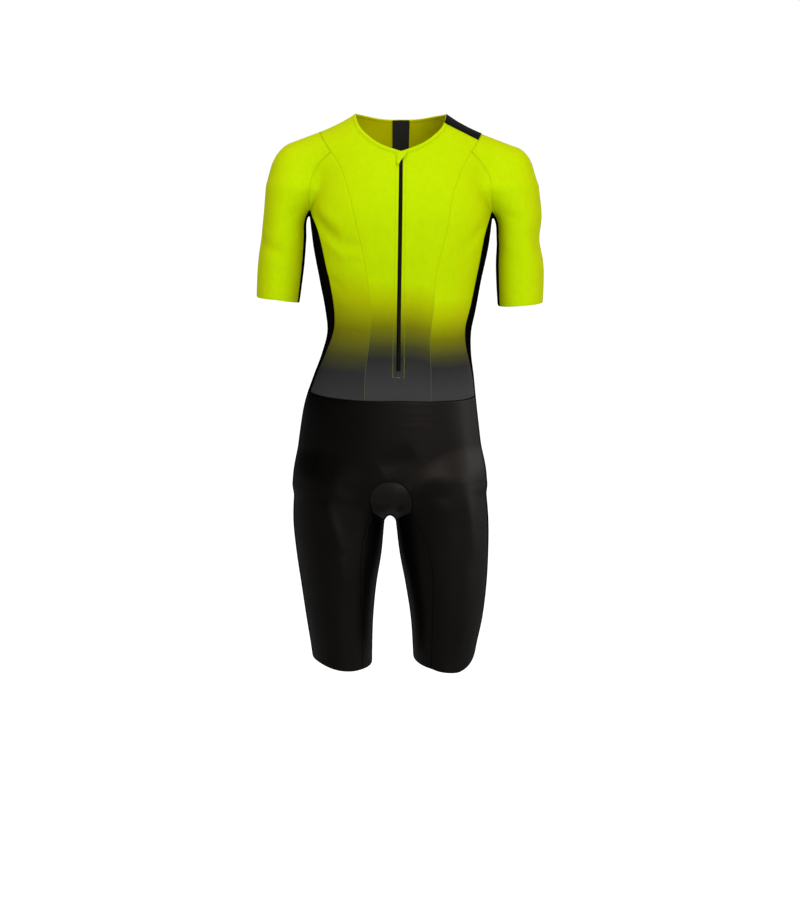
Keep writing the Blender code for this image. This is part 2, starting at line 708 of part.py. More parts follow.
def cloth(name, grids, material, thickness=CLOTH, raised=0.0):
    """A closed wall on the grids: its outer face, its inner face and the rim between them."""
    points, triangles = joined(grids)
    edges = sorted(free_edges(triangles))
    normals = outward(points)
    on_waist = [tuple(np.round(point, 2)) in WAIST_POINTS for point in points]
    normals[on_waist, 2] = 0
    normals /= np.linalg.norm(normals, axis=1, keepdims=True)
    middle = trimmed(points, normals, edges) + normals * raised
    outer, inner = middle + normals * thickness / 2, middle - normals * thickness / 2
    count = len(points)
    faces = triangles + [(c + count, b + count, a + count) for a, b, c in triangles]
    for a, b in edges:
        if np.linalg.norm(outer[a] - inner[b]) < np.linalg.norm(outer[b] - inner[a]):
            faces += [(b, a, b + count), (a, a + count, b + count)]
        else:
            faces += [(b, a, a + count), (b, a + count, b + count)]
    mesh = bpy.data.meshes.new(name)
    mesh.from_pydata((np.concatenate([outer, inner]) * MM).tolist(), [], faces)
    mesh.shade_smooth()
    mesh.set_sharp_from_angle(angle=np.radians(50))
    mesh.materials.append(material)
    piece = bpy.data.objects.new(name, mesh)
    SUIT.objects.link(piece)
    return piece


def finish(name, colour, roughness):
    """A plain Principled finish in a linear colour."""
    material = bpy.data.materials.new(name)
    material.use_nodes = True
    shader = material.node_tree.nodes["Principled BSDF"]
    shader.inputs["Base Color"].default_value = (*colour, 1)
    shader.inputs["Roughness"].default_value = roughness
    material.diffuse_color = (*colour, 1)
    return material


for thing in list(bpy.data.objects):
    bpy.data.objects.remove(thing, do_unlink=True)
SUIT = bpy.data.collections.new("triathlon_suit")
bpy.context.scene.collection.children.link(SUIT)

yellow_lycra = finish("yellow_lycra", (0.52, 0.75, 0.0), 0.6)
black_lycra = finish("black_lycra", (0.006, 0.006, 0.006), 0.55)
black_mesh = finish("black_mesh", (0.004, 0.004, 0.004), 0.7)
black_tape = finish("black_tape", (0.01, 0.01, 0.01), 0.8)
black_coil = finish("black_coil", (0.012, 0.012, 0.012), 0.35)
black_metal = finish("black_metal", (0.02, 0.02, 0.02), 0.3)


# ---- Shared seams ----

def each_side(table):
    return {"right": seam(table), "left": seam(mirrored(table))}


def ring_parts(pins, ease=1.0):
    """A ring's line, cut at every knot."""
    line = seam(pins, ease)
    knots = np.cumsum([pin.cells for pin in pins if pin.cells])
    return [line[a:b + 1] for a, b in zip([0, *knots], knots)]


neck_front, neck_back = each_side(NECK_FRONT), each_side(NECK_BACK)
shoulder, band_edge = each_side(SHOULDER), each_side(BAND_EDGE)
sleeve_top_front, sleeve_top_back = each_side(SLEEVE_TOP_FRONT), each_side(SLEEVE_TOP_BACK)
sleeve_front, sleeve_back = each_side(SLEEVE_FRONT), each_side(SLEEVE_BACK)
armpit = each_side(ARMPIT)
princess = {"right": seam(PRINCESS_RIGHT), "left": seam(PRINCESS_LEFT)}
side_front = {"right": seam(SIDE_FRONT_RIGHT, ARMPIT_EASE), "left": seam(SIDE_FRONT_LEFT, ARMPIT_EASE)}
side_back = {"right": seam(SIDE_BACK_RIGHT, ARMPIT_EASE), "left": seam(SIDE_BACK_LEFT, ARMPIT_EASE)}
slot = {"right": seam(SLOT_RIGHT), "left": seam(SLOT_LEFT)}
centre_back = seam(CENTRE_BACK)
body_waist = ring_parts([Pin(pin.x, pin.y, pin.z, pin.body) for pin in WAIST])
shorts_waist = ring_parts([Pin(pin.x, pin.y, pin.z, pin.shorts) for pin in WAIST])
# Rims at the waist lie level, because the cells above and below it don't meet one to one.
WAIST_POINTS = {tuple(np.round(point, 2)) for run in body_waist + shorts_waist for point in run}
# Each run of the body's waist, from the centre outward on its own side.
waist_back = {"right": body_waist[0], "left": body_waist[8][::-1]}
waist_side = {"right": body_waist[1][::-1], "left": body_waist[7]}
waist_front_side = {"right": body_waist[2][::-1], "left": body_waist[6]}
waist_front = {"right": body_waist[3][::-1], "left": body_waist[5]}


# ---- Body ----

def top_of_shoulder(side):
    """The strip of the front along the shoulder seam, as wide as the band that lies on it."""
    near_neck, near_sleeve = neck_front[side][:BAND_CELLS + 1], sleeve_top_front[side][:BAND_CELLS + 1]
    return panel(shoulder[side], band_edge[side], near_neck, near_sleeve)


def front_half(side):
    """From the zip's slot outward to the princess seam, with the neck and the strip at the top."""
    top = chain(neck_front[side][:BAND_CELLS - 1:-1], band_edge[side])
    outer = chain(sleeve_top_front[side][BAND_CELLS:], princess[side])
    return panel(top, waist_front[side], slot[side], outer)


def back_half(side):
    """From the centre back outward, under the shoulder, sleeve and side panel."""
    top = chain(neck_back[side][::-1], shoulder[side])
    outer = chain(sleeve_top_back[side], sleeve_back[side], side_back[side])
    return panel(top, waist_back[side], centre_back, outer)


SLOT_ROWS = SLOT_RIGHT[-2].cells
front_top = {side: top_of_shoulder(side) for side in ("right", "left")}
front = {side: front_half(side) for side in ("right", "left")}
below_slot = np.stack([slot["right"][SLOT_ROWS:], slot["left"][SLOT_ROWS:]], 1)
front_grids = [front_top["right"], front["right"], below_slot, front["left"], front_top["left"]]
cloth("front_centre", front_grids, yellow_lycra)

back = {side: back_half(side) for side in ("right", "left")}
cloth("back", [back["right"], back["left"]], yellow_lycra)

for side in ("right", "left"):
    front_side = panel(sleeve_front[side], waist_front_side[side], princess[side], side_front[side])
    cloth("front_side_" + side, [front_side], yellow_lycra)
    side_panel = panel(armpit[side], waist_side[side], side_front[side], side_back[side])
    cloth("side_panel_" + side, [side_panel], black_mesh)


# ---- Sleeves: raglan, in one piece over the shoulder, with a strip under the arm ----

ARM_LINES = {"right": ARM_LINES_RIGHT, "left": ARM_LINES_LEFT}
CUFFS = {"right": CUFF_RIGHT, "left": CUFF_LEFT}
EASED = ("under_front", "under_back")
for side in ("right", "left"):
    line = {name: seam(pins, ARMPIT_EASE if name in EASED else 1) for name, pins in ARM_LINES[side].items()}
    cuff = ring_parts(CUFFS[side])
    sleeve = [
        panel(sleeve_front[side][::-1], cuff[0], line["under_front"], line["front"]),
        panel(sleeve_top_front[side][::-1], cuff[1], line["front"], line["top"]),
        panel(sleeve_top_back[side], cuff[2], line["top"], line["back"]),
        panel(sleeve_back[side], cuff[3], line["back"], line["under_back"]),
    ]
    cloth("sleeve_" + side, sleeve, yellow_lycra)
    under_arm = panel(armpit[side], cuff[4][::-1], line["under_front"], line["under_back"])
    cloth("under_arm_" + side, [under_arm], black_mesh)


# ---- Shorts ----

LEG_LINES = {"right": LEG_LINES_RIGHT, "left": LEG_LINES_LEFT}
HEMS = {"right": HEM_RIGHT, "left": HEM_LEFT}
gusset_front = {"right": seam(GUSSET_RIGHT), "left": seam(GUSSET_LEFT)}
gusset_under = {"right": seam(UNDER_RIGHT), "left": seam(UNDER_LEFT)}
gusset_back = {"right": seam(GUSSET_BACK_RIGHT), "left": seam(GUSSET_BACK_LEFT)}
shorts_centre_front = seam(LEG_LINES_RIGHT["centre_front"])
shorts_centre_back = seam(LEG_LINES_RIGHT["centre_back"])
# Runs of the shorts' waist: back centre to middle, middle to side, side to middle, middle to centre.
back_runs = {"right": shorts_waist[0:2], "left": [run[::-1] for run in shorts_waist[:5:-1]]}
front_runs = {"right": [run[::-1] for run in shorts_waist[3:1:-1]], "left": shorts_waist[4:6]}
shorts_front = []
for side in ("right", "left"):
    centre_names = ("centre_front", "centre_back")
    line = {name: seam(pins) for name, pins in LEG_LINES[side].items() if name not in centre_names}
    hem = ring_parts(HEMS[side])
    inner_front = chain(shorts_centre_front, gusset_front[side], line["inner_front"])
    inner_back = chain(shorts_centre_back, gusset_back[side], line["inner_back"])
    shorts_front += [
        panel(front_runs[side][0], hem[0], inner_front, line["mid_front"]),
        panel(front_runs[side][1], hem[1], line["mid_front"], line["side"]),
    ]
    shorts_back = [
        panel(back_runs[side][0], hem[3][::-1], inner_back, line["mid_back"]),
        panel(back_runs[side][1], hem[2][::-1], line["mid_back"], line["side"]),
    ]
    cloth("shorts_back_" + side, shorts_back, black_lycra)
    inner_thigh = panel(gusset_under[side], hem[4][::-1], line["inner_front"], line["inner_back"])
    cloth("inner_thigh_" + side, [inner_thigh], black_lycra)
cloth("shorts_front", shorts_front, black_lycra)


def gusset_edge(side):
    """The gusset's edge on one side, from its front corner between the legs to its back corner."""
    front_edge = gusset_front[side][GUSSET_END:]
    back_edge = gusset_back[side][GUSSET_END:]
    return chain(front_edge, gusset_under[side], back_edge[::-1])


front_end = chain(gusset_front["right"][GUSSET_END::-1], gusset_front["left"][:GUSSET_END + 1])
back_end = chain(gusset_back["right"][GUSSET_END::-1], gusset_back["left"][:GUSSET_END + 1])
cloth("gusset", [panel(front_end, back_end, gusset_edge("right"), gusset_edge("left"))], black_lycra)


# ---- Trims ----

neck_seam = chain(neck_front["right"][::-1], neck_back["right"], neck_back["left"][::-1],
                  neck_front["left"])
NECK_CENTRE = len(neck_front["right"]) + len(neck_back["right"]) - 2


def neck_edge():
    """The free edge of the neck, a binding's width above its seam."""
    along = np.gradient(neck_seam, axis=0)
    up = np.cross(along, outward(neck_seam))
    up /= np.linalg.norm(up, axis=1, keepdims=True)
    up *= np.sign(up @ (0, 0, 1))[:, None]
    return fitted(neck_seam + up * BINDING_WIDTH)


edge = neck_edge()
cloth("neck_binding", [np.stack([edge, neck_seam])], yellow_lycra, BINDING)


def at_distances(row, centre, distances):
    """Points on a row of a grid, at distances from one of its points along it."""
    run = np.concatenate([[0], np.cumsum(np.linalg.norm(np.diff(row, axis=0), axis=1))])
    wanted = run[centre] + np.array(distances)
    return np.stack([np.interp(wanted, run, column) for column in row.T], 1)


# The black band lies on the top of the left shoulder, bare, from the neck's edge, where it covers
# the binding, to the sleeve.
over_cloth, over_binding = (wall / 2 + SEAM_GAP + TRIM / 2 for wall in (CLOTH, BINDING))
left_shoulder = NECK_CENTRE + len(neck_back["left"]) - 1
band_end = edge[left_shoulder:left_shoulder + BAND_CELLS + 1]
band = np.concatenate([band_end[:, None], front_top["left"]], axis=1)
band_heights = np.full(band.shape[1], over_cloth)
band_heights[:2] = over_binding
cloth("shoulder_band", [lifted(band, band_heights)], black_lycra, TRIM)

# The tape inside the back of the neck hangs from its edge.
back_rows = np.concatenate([back["right"][:, ::-1], back["left"][:, 1:]], axis=1)
tape_across = np.array([-1, 0, 1]) * NECK_TAPE_HALF
tape_rows = [at_distances(row, NECK_CENTRE, tape_across) for row in (edge, neck_seam)]
back_centre = back["right"].shape[1] - 1
tape_rows += [at_distances(row, back_centre, tape_across) for row in back_rows[1:NECK_TAPE_ROWS]]
under_binding = -(BINDING / 2 + SEAM_GAP + TRIM / 2)
cloth("neck_tape", [np.array(tape_rows)], black_tape, TRIM, under_binding)

# The zip: two tapes behind the slot, the teeth in it and the slider at the top.
TAPE_BEYOND_SLOT = 0.4
zip_rows = {}
for side in ("right", "left"):
    last, following = front[side][SLOT_ROWS], front[side][SLOT_ROWS + 1]
    end_row = last * (1 - TAPE_BEYOND_SLOT) + following * TAPE_BEYOND_SLOT
    zip_rows[side] = [*front[side][:SLOT_ROWS + 1], end_row]
zip_centre = (np.array(zip_rows["right"])[:, 0] + np.array(zip_rows["left"])[:, 0]) / 2
behind_cloth = -(CLOTH / 2 + SEAM_GAP + TRIM / 2)
for side in ("right", "left"):
    tape = [
        [centre, row[0], at_distances(row, 0, [ZIP_TAPE_WIDTH - ZIP_SLOT_HALF])[0]]
        for centre, row in zip(zip_centre, zip_rows[side])
    ]
    cloth("zip_tape_" + side, [np.array(tape)], black_tape, TRIM, behind_cloth)
teeth = [
    [centre - (TEETH_HALF, 0, 0), centre, centre + (TEETH_HALF, 0, 0)]
    for centre in zip_centre[:SLOT_ROWS + 1]
]
teeth_raised = behind_cloth + TRIM / 2 + SEAM_GAP + TEETH / 2
cloth("zip_teeth", [np.array(teeth)], black_coil, TEETH, teeth_raised)

slider = np.array(
    [[(x * row.half_width, SLIDER_Y, row.z) for x in (-1.0, 0.0, 1.0)] for row in SLIDER]
)
slider_raised = teeth_raised + TEETH / 2 + SEAM_GAP + SLIDER_THICK / 2
cloth("zip_slider", [fitted(slider)], black_metal, SLIDER_THICK, slider_raised)

# The garage is a flap sewn down beside the zip, standing over the slider to its slanting free edge.
garage = panel(seam(GARAGE_TOP), seam(GARAGE_BOTTOM), seam(GARAGE_SEWN), seam(GARAGE_FREE))
garage_low = BINDING / 2 + SEAM_GAP + TRIM / 2
garage_high = slider_raised + SLIDER_THICK / 2 + SEAM_GAP + TRIM / 2
rise = np.minimum(np.arange(garage.shape[1]) / GARAGE_STEP, 1)
cloth("zip_garage", [lifted(garage, garage_low + rise * (garage_high - garage_low))], yellow_lycra, TRIM)
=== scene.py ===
"""The looks of a short-sleeved one-piece triathlon suit: its cloth, seams, zip and trims.

The pieces are made and joined in the order in which a maker sews the suit. Cloth is worked out in
millimetres, with -Y the front, +X the wearer's left and +Z up, and is scaled when a mesh is made.
"""

from collections import namedtuple

import bpy
import numpy as np
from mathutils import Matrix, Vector


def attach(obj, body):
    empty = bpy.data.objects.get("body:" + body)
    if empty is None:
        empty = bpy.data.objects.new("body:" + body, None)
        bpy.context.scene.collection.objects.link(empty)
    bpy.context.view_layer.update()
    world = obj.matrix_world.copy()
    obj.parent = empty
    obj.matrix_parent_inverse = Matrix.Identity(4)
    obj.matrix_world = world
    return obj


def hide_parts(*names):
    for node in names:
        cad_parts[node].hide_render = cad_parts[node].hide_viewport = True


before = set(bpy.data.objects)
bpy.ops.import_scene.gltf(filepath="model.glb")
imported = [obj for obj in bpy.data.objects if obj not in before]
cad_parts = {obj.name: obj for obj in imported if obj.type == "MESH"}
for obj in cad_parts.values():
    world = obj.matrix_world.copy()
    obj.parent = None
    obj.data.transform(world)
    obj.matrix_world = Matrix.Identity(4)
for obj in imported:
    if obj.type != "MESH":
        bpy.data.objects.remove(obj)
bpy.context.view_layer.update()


# ==== Front, centre ====
# The middle of the chest and belly, of fine stretch knit dyed from bright yellow to dark grey, slit
# for the zip. It is cut to a worn form, so that form and the seams on it are given here.

MM = 0.001
SIDES = ("right", "left")
CLOTH = 1.5            # wall of a body, sleeve or leg piece, its seam allowances counted in
SEAM_GAP = 0.3         # clear space between two pieces at a seam, and between two layers
FINE = 7               # points of cloth for each cell that the seams' pins ask for
ROLLED = 0.4           # half of the wall at an edge, where the thread draws the cloth thin
ARMPIT_EASE = 1.6      # rows of cells crowd towards the armpit, where the cloth turns sharply
FITTING_STEP = 0.2     # how far to both sides of a point the form's slope is taken
SLIGHTEST_SLOPE = 0.05 # a step on to the form takes its slope to be at least so much
LINE_STEPS = 32        # points of a seam's line from each pin to the next, before it is divided
EVENING_ROUNDS = 12    # times that a panel's points are drawn to the middle of those around them
SMOOTHING_ROUNDS = 4   # the same for the finer points
MERGED_DECIMALS = 2    # points that agree to so many decimals of a millimetre are one point
SHARPEST_CORNER = 0.3  # keeps a sharp corner from being drawn in too far at its tip
SHARP_EDGE = 60        # degrees; an edge sharper than this isn't shaded smooth

Trunk = namedtuple("Trunk", "z centre_x half_width front back square")
TRUNK = (
    Trunk(30, 0, 38, 30, 48, 2.0),
    Trunk(0, 0, 66.5, 44, 66, 2.0),
    Trunk(-40, 0, 110, 64, 91, 2.1),
    Trunk(-80, 0, 135, 84, 108, 2.2),
    Trunk(-120, 0, 149, 101, 117, 2.3),
    Trunk(-167, 0, 157.5, 114, 120, 2.3),
    Trunk(-216, 0, 154, 117, 114, 2.2),
    Trunk(-291, -1, 140, 110, 98, 2.2),
    Trunk(-341, -1, 131, 105, 86, 2.2),
    Trunk(-376, -3, 126, 103, 80, 2.2),
    Trunk(-416, -8, 131, 103, 80, 2.2),
    Trunk(-456, -13, 141, 104, 85, 2.25),
    Trunk(-496, -18, 150, 104, 93, 2.25),
    Trunk(-556, -20, 159, 104, 108, 2.25),
    Trunk(-616, -20, 166, 102, 119, 2.25),
    Trunk(-681, -20, 172, 98, 119, 2.25),
    Trunk(-751, -20, 172, 92, 108, 2.25),
)
CROTCH_TOP, CROTCH_HEIGHT = -645, 57

Limb = namedtuple("Limb", "z centre_x centre_y half_width half_depth square")
ARM_RIGHT = (
    Limb(-130, -184, 6, 51.5, 62, 2.0),
    Limb(-175, -201.5, 5, 38, 60, 2.0),
    Limb(-216, -205.5, 4, 39, 58, 2.0),
    Limb(-259, -210, 3, 40, 56, 2.0),
    Limb(-301, -214, 2, 38.5, 54, 2.0),
    Limb(-336, -217, 1, 36.5, 53, 2.0),
)
ARM_LEFT = (
    Limb(-130, 181.5, 6, 59, 62, 2.0),
    Limb(-175, 203.5, 5, 41.5, 60, 2.0),
    Limb(-216, 205, 4, 37, 58, 2.0),
    Limb(-259, 208, 3, 41, 56, 2.0),
    Limb(-301, 209, 2, 40.5, 54, 2.0),
    Limb(-336, 209.5, 1, 38.5, 53, 2.0),
)
ARM_TOP, ARM_CAP, ARM_END = -130, 38.5, -355
LEG_RIGHT = (
    Limb(-560, -97, 8, 80, 98, 2.2),
    Limb(-650, -105, 8, 84, 104, 2.2),
    Limb(-716, -111, 7, 81, 99, 2.1),
    Limb(-774, -111, 4, 75.5, 94, 2.0),
    Limb(-833, -111.5, 1, 66.5, 86, 2.0),
    Limb(-892, -110, -2, 59.5, 78, 2.0),
    Limb(-951, -106.5, -4, 54, 71, 2.0),
    Limb(-1001, -104, -5, 51, 68, 2.0),
)
LEG_LEFT = (
    Limb(-560, 57, 8, 80, 98, 2.2),
    Limb(-650, 66, 8, 84, 104, 2.2),
    Limb(-716, 73.5, 7, 82.5, 99, 2.1),
    Limb(-774, 77, 4, 79, 94, 2.0),
    Limb(-833, 81, 1, 72, 86, 2.0),
    Limb(-892, 82, -2, 64, 78, 2.0),
    Limb(-951, 78, -4, 56, 71, 2.0),
    Limb(-1001, 76, -5, 52, 68, 2.0),
)
LEG_TOP, LEG_CAP = -640, 90

# The slope from the neck to the point of the shoulder is a rounded cone on each side.
Slope = namedtuple("Slope", "inner_x inner_z inner_radius outer_x outer_z outer_radius y")
SHOULDER_SLOPES = (
    Slope(-50, -54, 53, -175.5, -91.5, 44.5, 8),
    Slope(50, -65.5, 62, 188, -91, 36, 8),
)

# How softly the forms run into each other.
SHOULDER_BLEND, ARMPIT_BLEND, LEG_BLEND = 38.5, 12, 16
SHOULDER_BLEND_FROM, SHOULDER_BLEND_OVER = -155, 70

# The largest folds: a soft ridge, or a trough where the height is negative, from one end to the
# other.
Fold = namedtuple("Fold", "x0 y0 z0 x1 y1 z1 width height")
FOLDS = (
    Fold(-138, -72, -196, -88, -112, -236, 12, -2.5),
    Fold(-128, -82, -216, -74, -116, -262, 12, 2.5),
    Fold(142, -66, -204, 96, -106, -240, 12, -2.5),
    Fold(132, 84, -206, 70, 112, -262, 14, -3.0),
    Fold(-134, 84, -200, -76, 112, -250, 14, -3.0),
    Fold(-96, 76, -372, -8, 84, -381, 13, -3.0),
    Fold(88, 76, -366, 22, 84, -398, 13, -3.0),
    Fold(-104, 78, -402, -30, 84, -410, 13, 2.5),
    Fold(-104, 104, -694, -66, 98, -716, 13, -3.5),
    Fold(70, 104, -692, 34, 98, -720, 13, -3.5),
    Fold(-250, -8, -212, -214, -54, -236, 11, -2.5),
    Fold(243, 6, -214, 214, 56, -232, 11, -2.5),
)

# The finer creases, which thin out to nothing at their ends and may bow up or down on the way.
Crease = namedtuple("Crease", "x0 y0 z0 x1 y1 z1 width height bow")
CREASES = (
    # Under the right side of the chest: a deep trough below a soft ridge.
    Crease(-154, -40, -164, -102, -94, -218, 13, -3.0, 0),
    Crease(-146, -56, -154, -96, -99, -198, 12, 2.0, 0),
    Crease(-102, -93, -214, -58, -108, -228, 10, -1.8, 2),
    Crease(-96, -94, -234, -64, -106, -240, 8, 1.2, 0),
    Crease(-98, -92, -248, -62, -105, -256, 8, -1.6, 2),
    Crease(-132, -60, -278, -96, -88, -300, 9, -1.2, 2),
    Crease(-118, -70, -316, -84, -92, -326, 8, 1.0, -2),
    # The same on the left side, but shallower.
    Crease(154, -40, -172, 112, -85, -214, 11, -1.6, 0),
    Crease(150, -50, -196, 116, -86, -236, 7, 0.9, -2),
    Crease(126, -72, -246, 96, -92, -270, 9, -0.9, 2),
    # Under the arms at the back.
    Crease(152, 50, -186, 104, 98, -214, 6, -1.4, 4),
    Crease(146, 58, -204, 92, 106, -244, 7, 1.2, -3),
    Crease(-152, 50, -188, -110, 94, -226, 6, -1.3, 4),
    Crease(-144, 60, -216, -96, 102, -238, 7, 1.1, -3),
    # The sleeves, at the bend of the armhole and above the cuffs.
    Crease(-168, -46, -158, -214, -50, -192, 10, -1.5, 4),
    Crease(-200, -54, -182, -236, -32, -200, 9, -1.2, 0),
    Crease(-176, -32, -206, -208, -54, -224, 7, 0.9, -3),
    Crease(-174, 46, -186, -218, 52, -216, 7, -1.4, 5),
    Crease(-172, 34, -218, -210, 58, -240, 6, 0.9, -3),
    Crease(172, -46, -168, 208, -52, -186, 9, -1.4, 3),
    Crease(222, -46, -196, 238, -20, -240, 9, -1.6, 0),
    Crease(178, -34, -214, 208, -54, -238, 7, 0.9, -3),
    Crease(176, 46, -188, 220, 50, -222, 7, -1.4, 5),
    Crease(172, 34, -224, 208, 56, -248, 6, 1.0, -3),
    # Below the zip's end, and across the waist in front.
    Crease(-8, -103, -446, -19, -102, -464, 4, 1.1, 0),
    Crease(-1, -103, -446, 9, -102, -464, 4, 1.1, 0),
    Crease(-4.5, -103, -446, -4.5, -103, -462, 4, -0.9, 0),
    Crease(-104, -68, -366, -66, -94, -372, 6, -0.9, 2),
    Crease(-118, -50, -392, -74, -92, -404, 7, 0.8, 3),
    Crease(100, -66, -368, 64, -92, -378, 6, -0.8, 2),
    # The small of the back.
    Crease(-108, 62, -352, -34, 84, -362, 7, 1.4, -4),
    Crease(102, 62, -348, 30, 84, -366, 7, 1.3, -4),
    Crease(-88, 72, -420, 18, 82, -428, 8, -1.3, 5),
    Crease(92, 66, -416, 24, 82, -430, 7, 1.2, 3),
    Crease(-70, 82, -442, 30, 86, -446, 8, 1.2, -4),
    # Fine lines where the shorts stretch over the left hip bone.
    Crease(-4, -104, -510, 68, -90, -508, 4, 0.35, 0),
    Crease(2, -104, -521, 82, -84, -519, 4, 0.35, 0),
    Crease(-8, -104, -532, 52, -96, -532, 4, 0.3, 0),
    # The hollow above the gusset, and the hollow beside it over the right thigh.
    Crease(-34, -103, -610, 24, -102, -578, 18, -3.0, 0),
    Crease(-114, -97, -638, -50, -99, -658, 14, -2.2, 0),
    # The middle of the gusset, which bulges over its pad.
    Crease(-10, -100, -632, -10, -84, -694, 15, 3.0, 0),
    # A long ridge from the gusset over the left thigh and down its outside, hollow beneath.
    Crease(6, -99, -660, 62, -95, -612, 13, 2.0, 4),
    Crease(52, -96, -618, 112, -79, -640, 14, 1.6, 8),
    Crease(106, -83, -626, 134, -60, -790, 15, 2.2, 0),
    Crease(30, -98, -660, 92, -92, -660, 15, -2.2, 6),
    Crease(60, -93, -670, 84, -90, -830, 20, -2.0, 0),
    # A ridge down the middle of the right thigh.
    Crease(-134, -90, -660, -102, -91, -760, 12, 3.8, 0),
    Crease(-108, -91, -736, -86, -78, -860, 12, 2.0, 0),
    # Between the legs, in front, where four seams meet.
    Crease(-47, -73, -692, -39, -50, -712, 4, -1.4, 0),
    Crease(-54, -77, -690, -48, -58, -714, 4, 1.2, 0),
    Crease(-5, -73, -691, 22, -74, -710, 4, 1.5, 0),
    Crease(0, -64, -701, 30, -80, -717, 4, -1.3, 0),
    Crease(-2, -62, -702, 6, -46, -724, 4, 1.3, 0),
    # Under the seat and behind the thighs.
    Crease(-58, 100, -690, -102, 108, -712, 6, 1.3, -3),
    Crease(-60, 96, -704, -124, 96, -736, 8, -1.5, -5),
    Crease(20, 100, -690, 66, 108, -714, 6, 1.3, -3),
    Crease(24, 96, -706, 92, 98, -738, 8, -1.5, -5),
    Crease(-72, 74, -778, -128, 84, -796, 8, -1.0, -4),
    Crease(44, 72, -790, 104, 84, -806, 8, -1.0, -4),
)


def smooth(at, values, wanted):
    """A smooth curve through values given at rising places, read at the wanted places."""
    slope = np.gradient(values, at, axis=0)
    span = np.clip(np.searchsorted(at, wanted, side="right") - 1, 0, len(at) - 2)
    length = (at[span + 1] - at[span])[:, None]
    t = (wanted - at[span])[:, None] / length
    ahead = t * t * (3 - 2 * t)
    return (
        (1 - ahead) * values[span]
        + ahead * values[span + 1]
        + length * t * (1 - t) ** 2 * slope[span]
        - length * t * t * (1 - t) * slope[span + 1]
    )


def ladder(sections):
    """Heights every millimetre, and the sections' columns at each."""
    rows = np.array(sections, float)[::-1]
    heights = np.arange(rows[0, 0], rows[-1, 0] + 1)
    return heights, smooth(rows[:, 0], rows[:, 1:], heights)


LADDERS = {
    "trunk": ladder(TRUNK),
    "arm_right": ladder(ARM_RIGHT),
    "arm_left": ladder(ARM_LEFT),
    "leg_right": ladder(LEG_RIGHT),
    "leg_left": ladder(LEG_LEFT),
}


def section(name, z):
    heights, columns = LADDERS[name]
    return [np.interp(z, heights, column) for column in columns.T]


def beyond(dx, dy, dz, wide, deep, tall, square):
    """How far a point lies outside a squarish oval, along the line from its centre."""
    flat = (np.abs(dx / wide) + 1e-9) ** square + (np.abs(dy / deep) + 1e-9) ** square
    reach = np.sqrt(flat ** (2 / square) + (dz / tall) ** 2)
    length = np.sqrt(dx * dx + dy * dy + dz * dz) + 1e-9
    return length * (1 - 1 / np.maximum(reach, 1e-3))


def outside_trunk(x, y, z):
    centre_x, half_width, front, back, square = section("trunk", z)
    below = np.minimum(z - CROTCH_TOP, 0)
    return beyond(x - centre_x, y, below, half_width, np.where(y < 0, front, back), CROTCH_HEIGHT, square)


def outside_limb(name, x, y, z, top, cap):
    centre_x, centre_y, half_width, half_depth, square = section(name, np.minimum(z, top))
    above = np.maximum(z - top, 0)
    return beyond(x - centre_x, y - centre_y, above, half_width, half_depth, cap, square)


def outside_slope(s, x, y, z):
    run, fall = s.outer_x - s.inner_x, s.outer_z - s.inner_z
    t = np.clip(((x - s.inner_x) * run + (z - s.inner_z) * fall) / (run**2 + fall**2), 0, 1)
    dx, dz = x - s.inner_x - t * run, z - s.inner_z - t * fall
    return np.sqrt(dx**2 + (y - s.y) ** 2 + dz**2) - s.inner_radius - t * (s.outer_radius - s.inner_radius)


def melt(a, b, softness):
    near = np.maximum(softness - np.abs(a - b), 0) / softness
    return np.minimum(a, b) - near * near * softness / 4


def beside_line(points, fold):
    """How far along a fold's line each point lies, from 0 to 1, and its way from the line."""
    start, end = np.array(fold[0:3]), np.array(fold[3:6])
    along = end - start
    t = np.clip((points - start) @ along / (along @ along), 0, 1)
    return t, points - start - t[:, None] * along


def fold_height(points):
    total = np.zeros(len(points))
    for fold in FOLDS:
        _, away = beside_line(points, fold)
        total += fold.height * np.exp(-(away * away).sum(1) / fold.width**2)
    return total


def crease_height(points):
    total = np.zeros(len(points))
    for crease in CREASES:
        t, away = beside_line(points, crease)
        swell = 4 * t * (1 - t)
        away[:, 2] -= crease.bow * swell
        total += crease.height * swell * np.exp(-(away * away).sum(1) / crease.width**2)
    return total


def outside(points):
    """Millimetres outside the figure, roughly; nought on its surface, and less inside."""
    x, y, z = points.T
    high = np.clip((z - SHOULDER_BLEND_FROM) / SHOULDER_BLEND_OVER, 0, 1)
    softness = ARMPIT_BLEND + high * (SHOULDER_BLEND - ARMPIT_BLEND)
    slopes = np.minimum(*(outside_slope(slope, x, y, z) for slope in SHOULDER_SLOPES))
    body = melt(outside_trunk(x, y, z), slopes, softness)
    arms = np.minimum(
        outside_limb("arm_right", x, y, z, ARM_TOP, ARM_CAP),
        outside_limb("arm_left", x, y, z, ARM_TOP, ARM_CAP),
    )
    arms = np.maximum(arms, ARM_END - z)
    body = melt(body, arms, softness)
    legs = np.minimum(
        outside_limb("leg_right", x, y, z, LEG_TOP, LEG_CAP),
        outside_limb("leg_left", x, y, z, LEG_TOP, LEG_CAP),
    )
    return melt(body, legs, LEG_BLEND) - fold_height(points)


def steepest(points):
    columns = []
    for axis in np.eye(3) * FITTING_STEP:
        columns.append((outside(points + axis) - outside(points - axis)) / (2 * FITTING_STEP))
    return np.stack(columns, 1)


def fitted(points, rounds=10):
    """The points moved straight on to the figure."""
    shape = np.shape(points)
    points = np.array(points, float).reshape(-1, 3)
    for _ in range(rounds):
        slope = steepest(points)
        steepness = np.maximum((slope * slope).sum(1), SLIGHTEST_SLOPE)
        points -= (outside(points) / steepness)[:, None] * slope
    return points.reshape(shape)


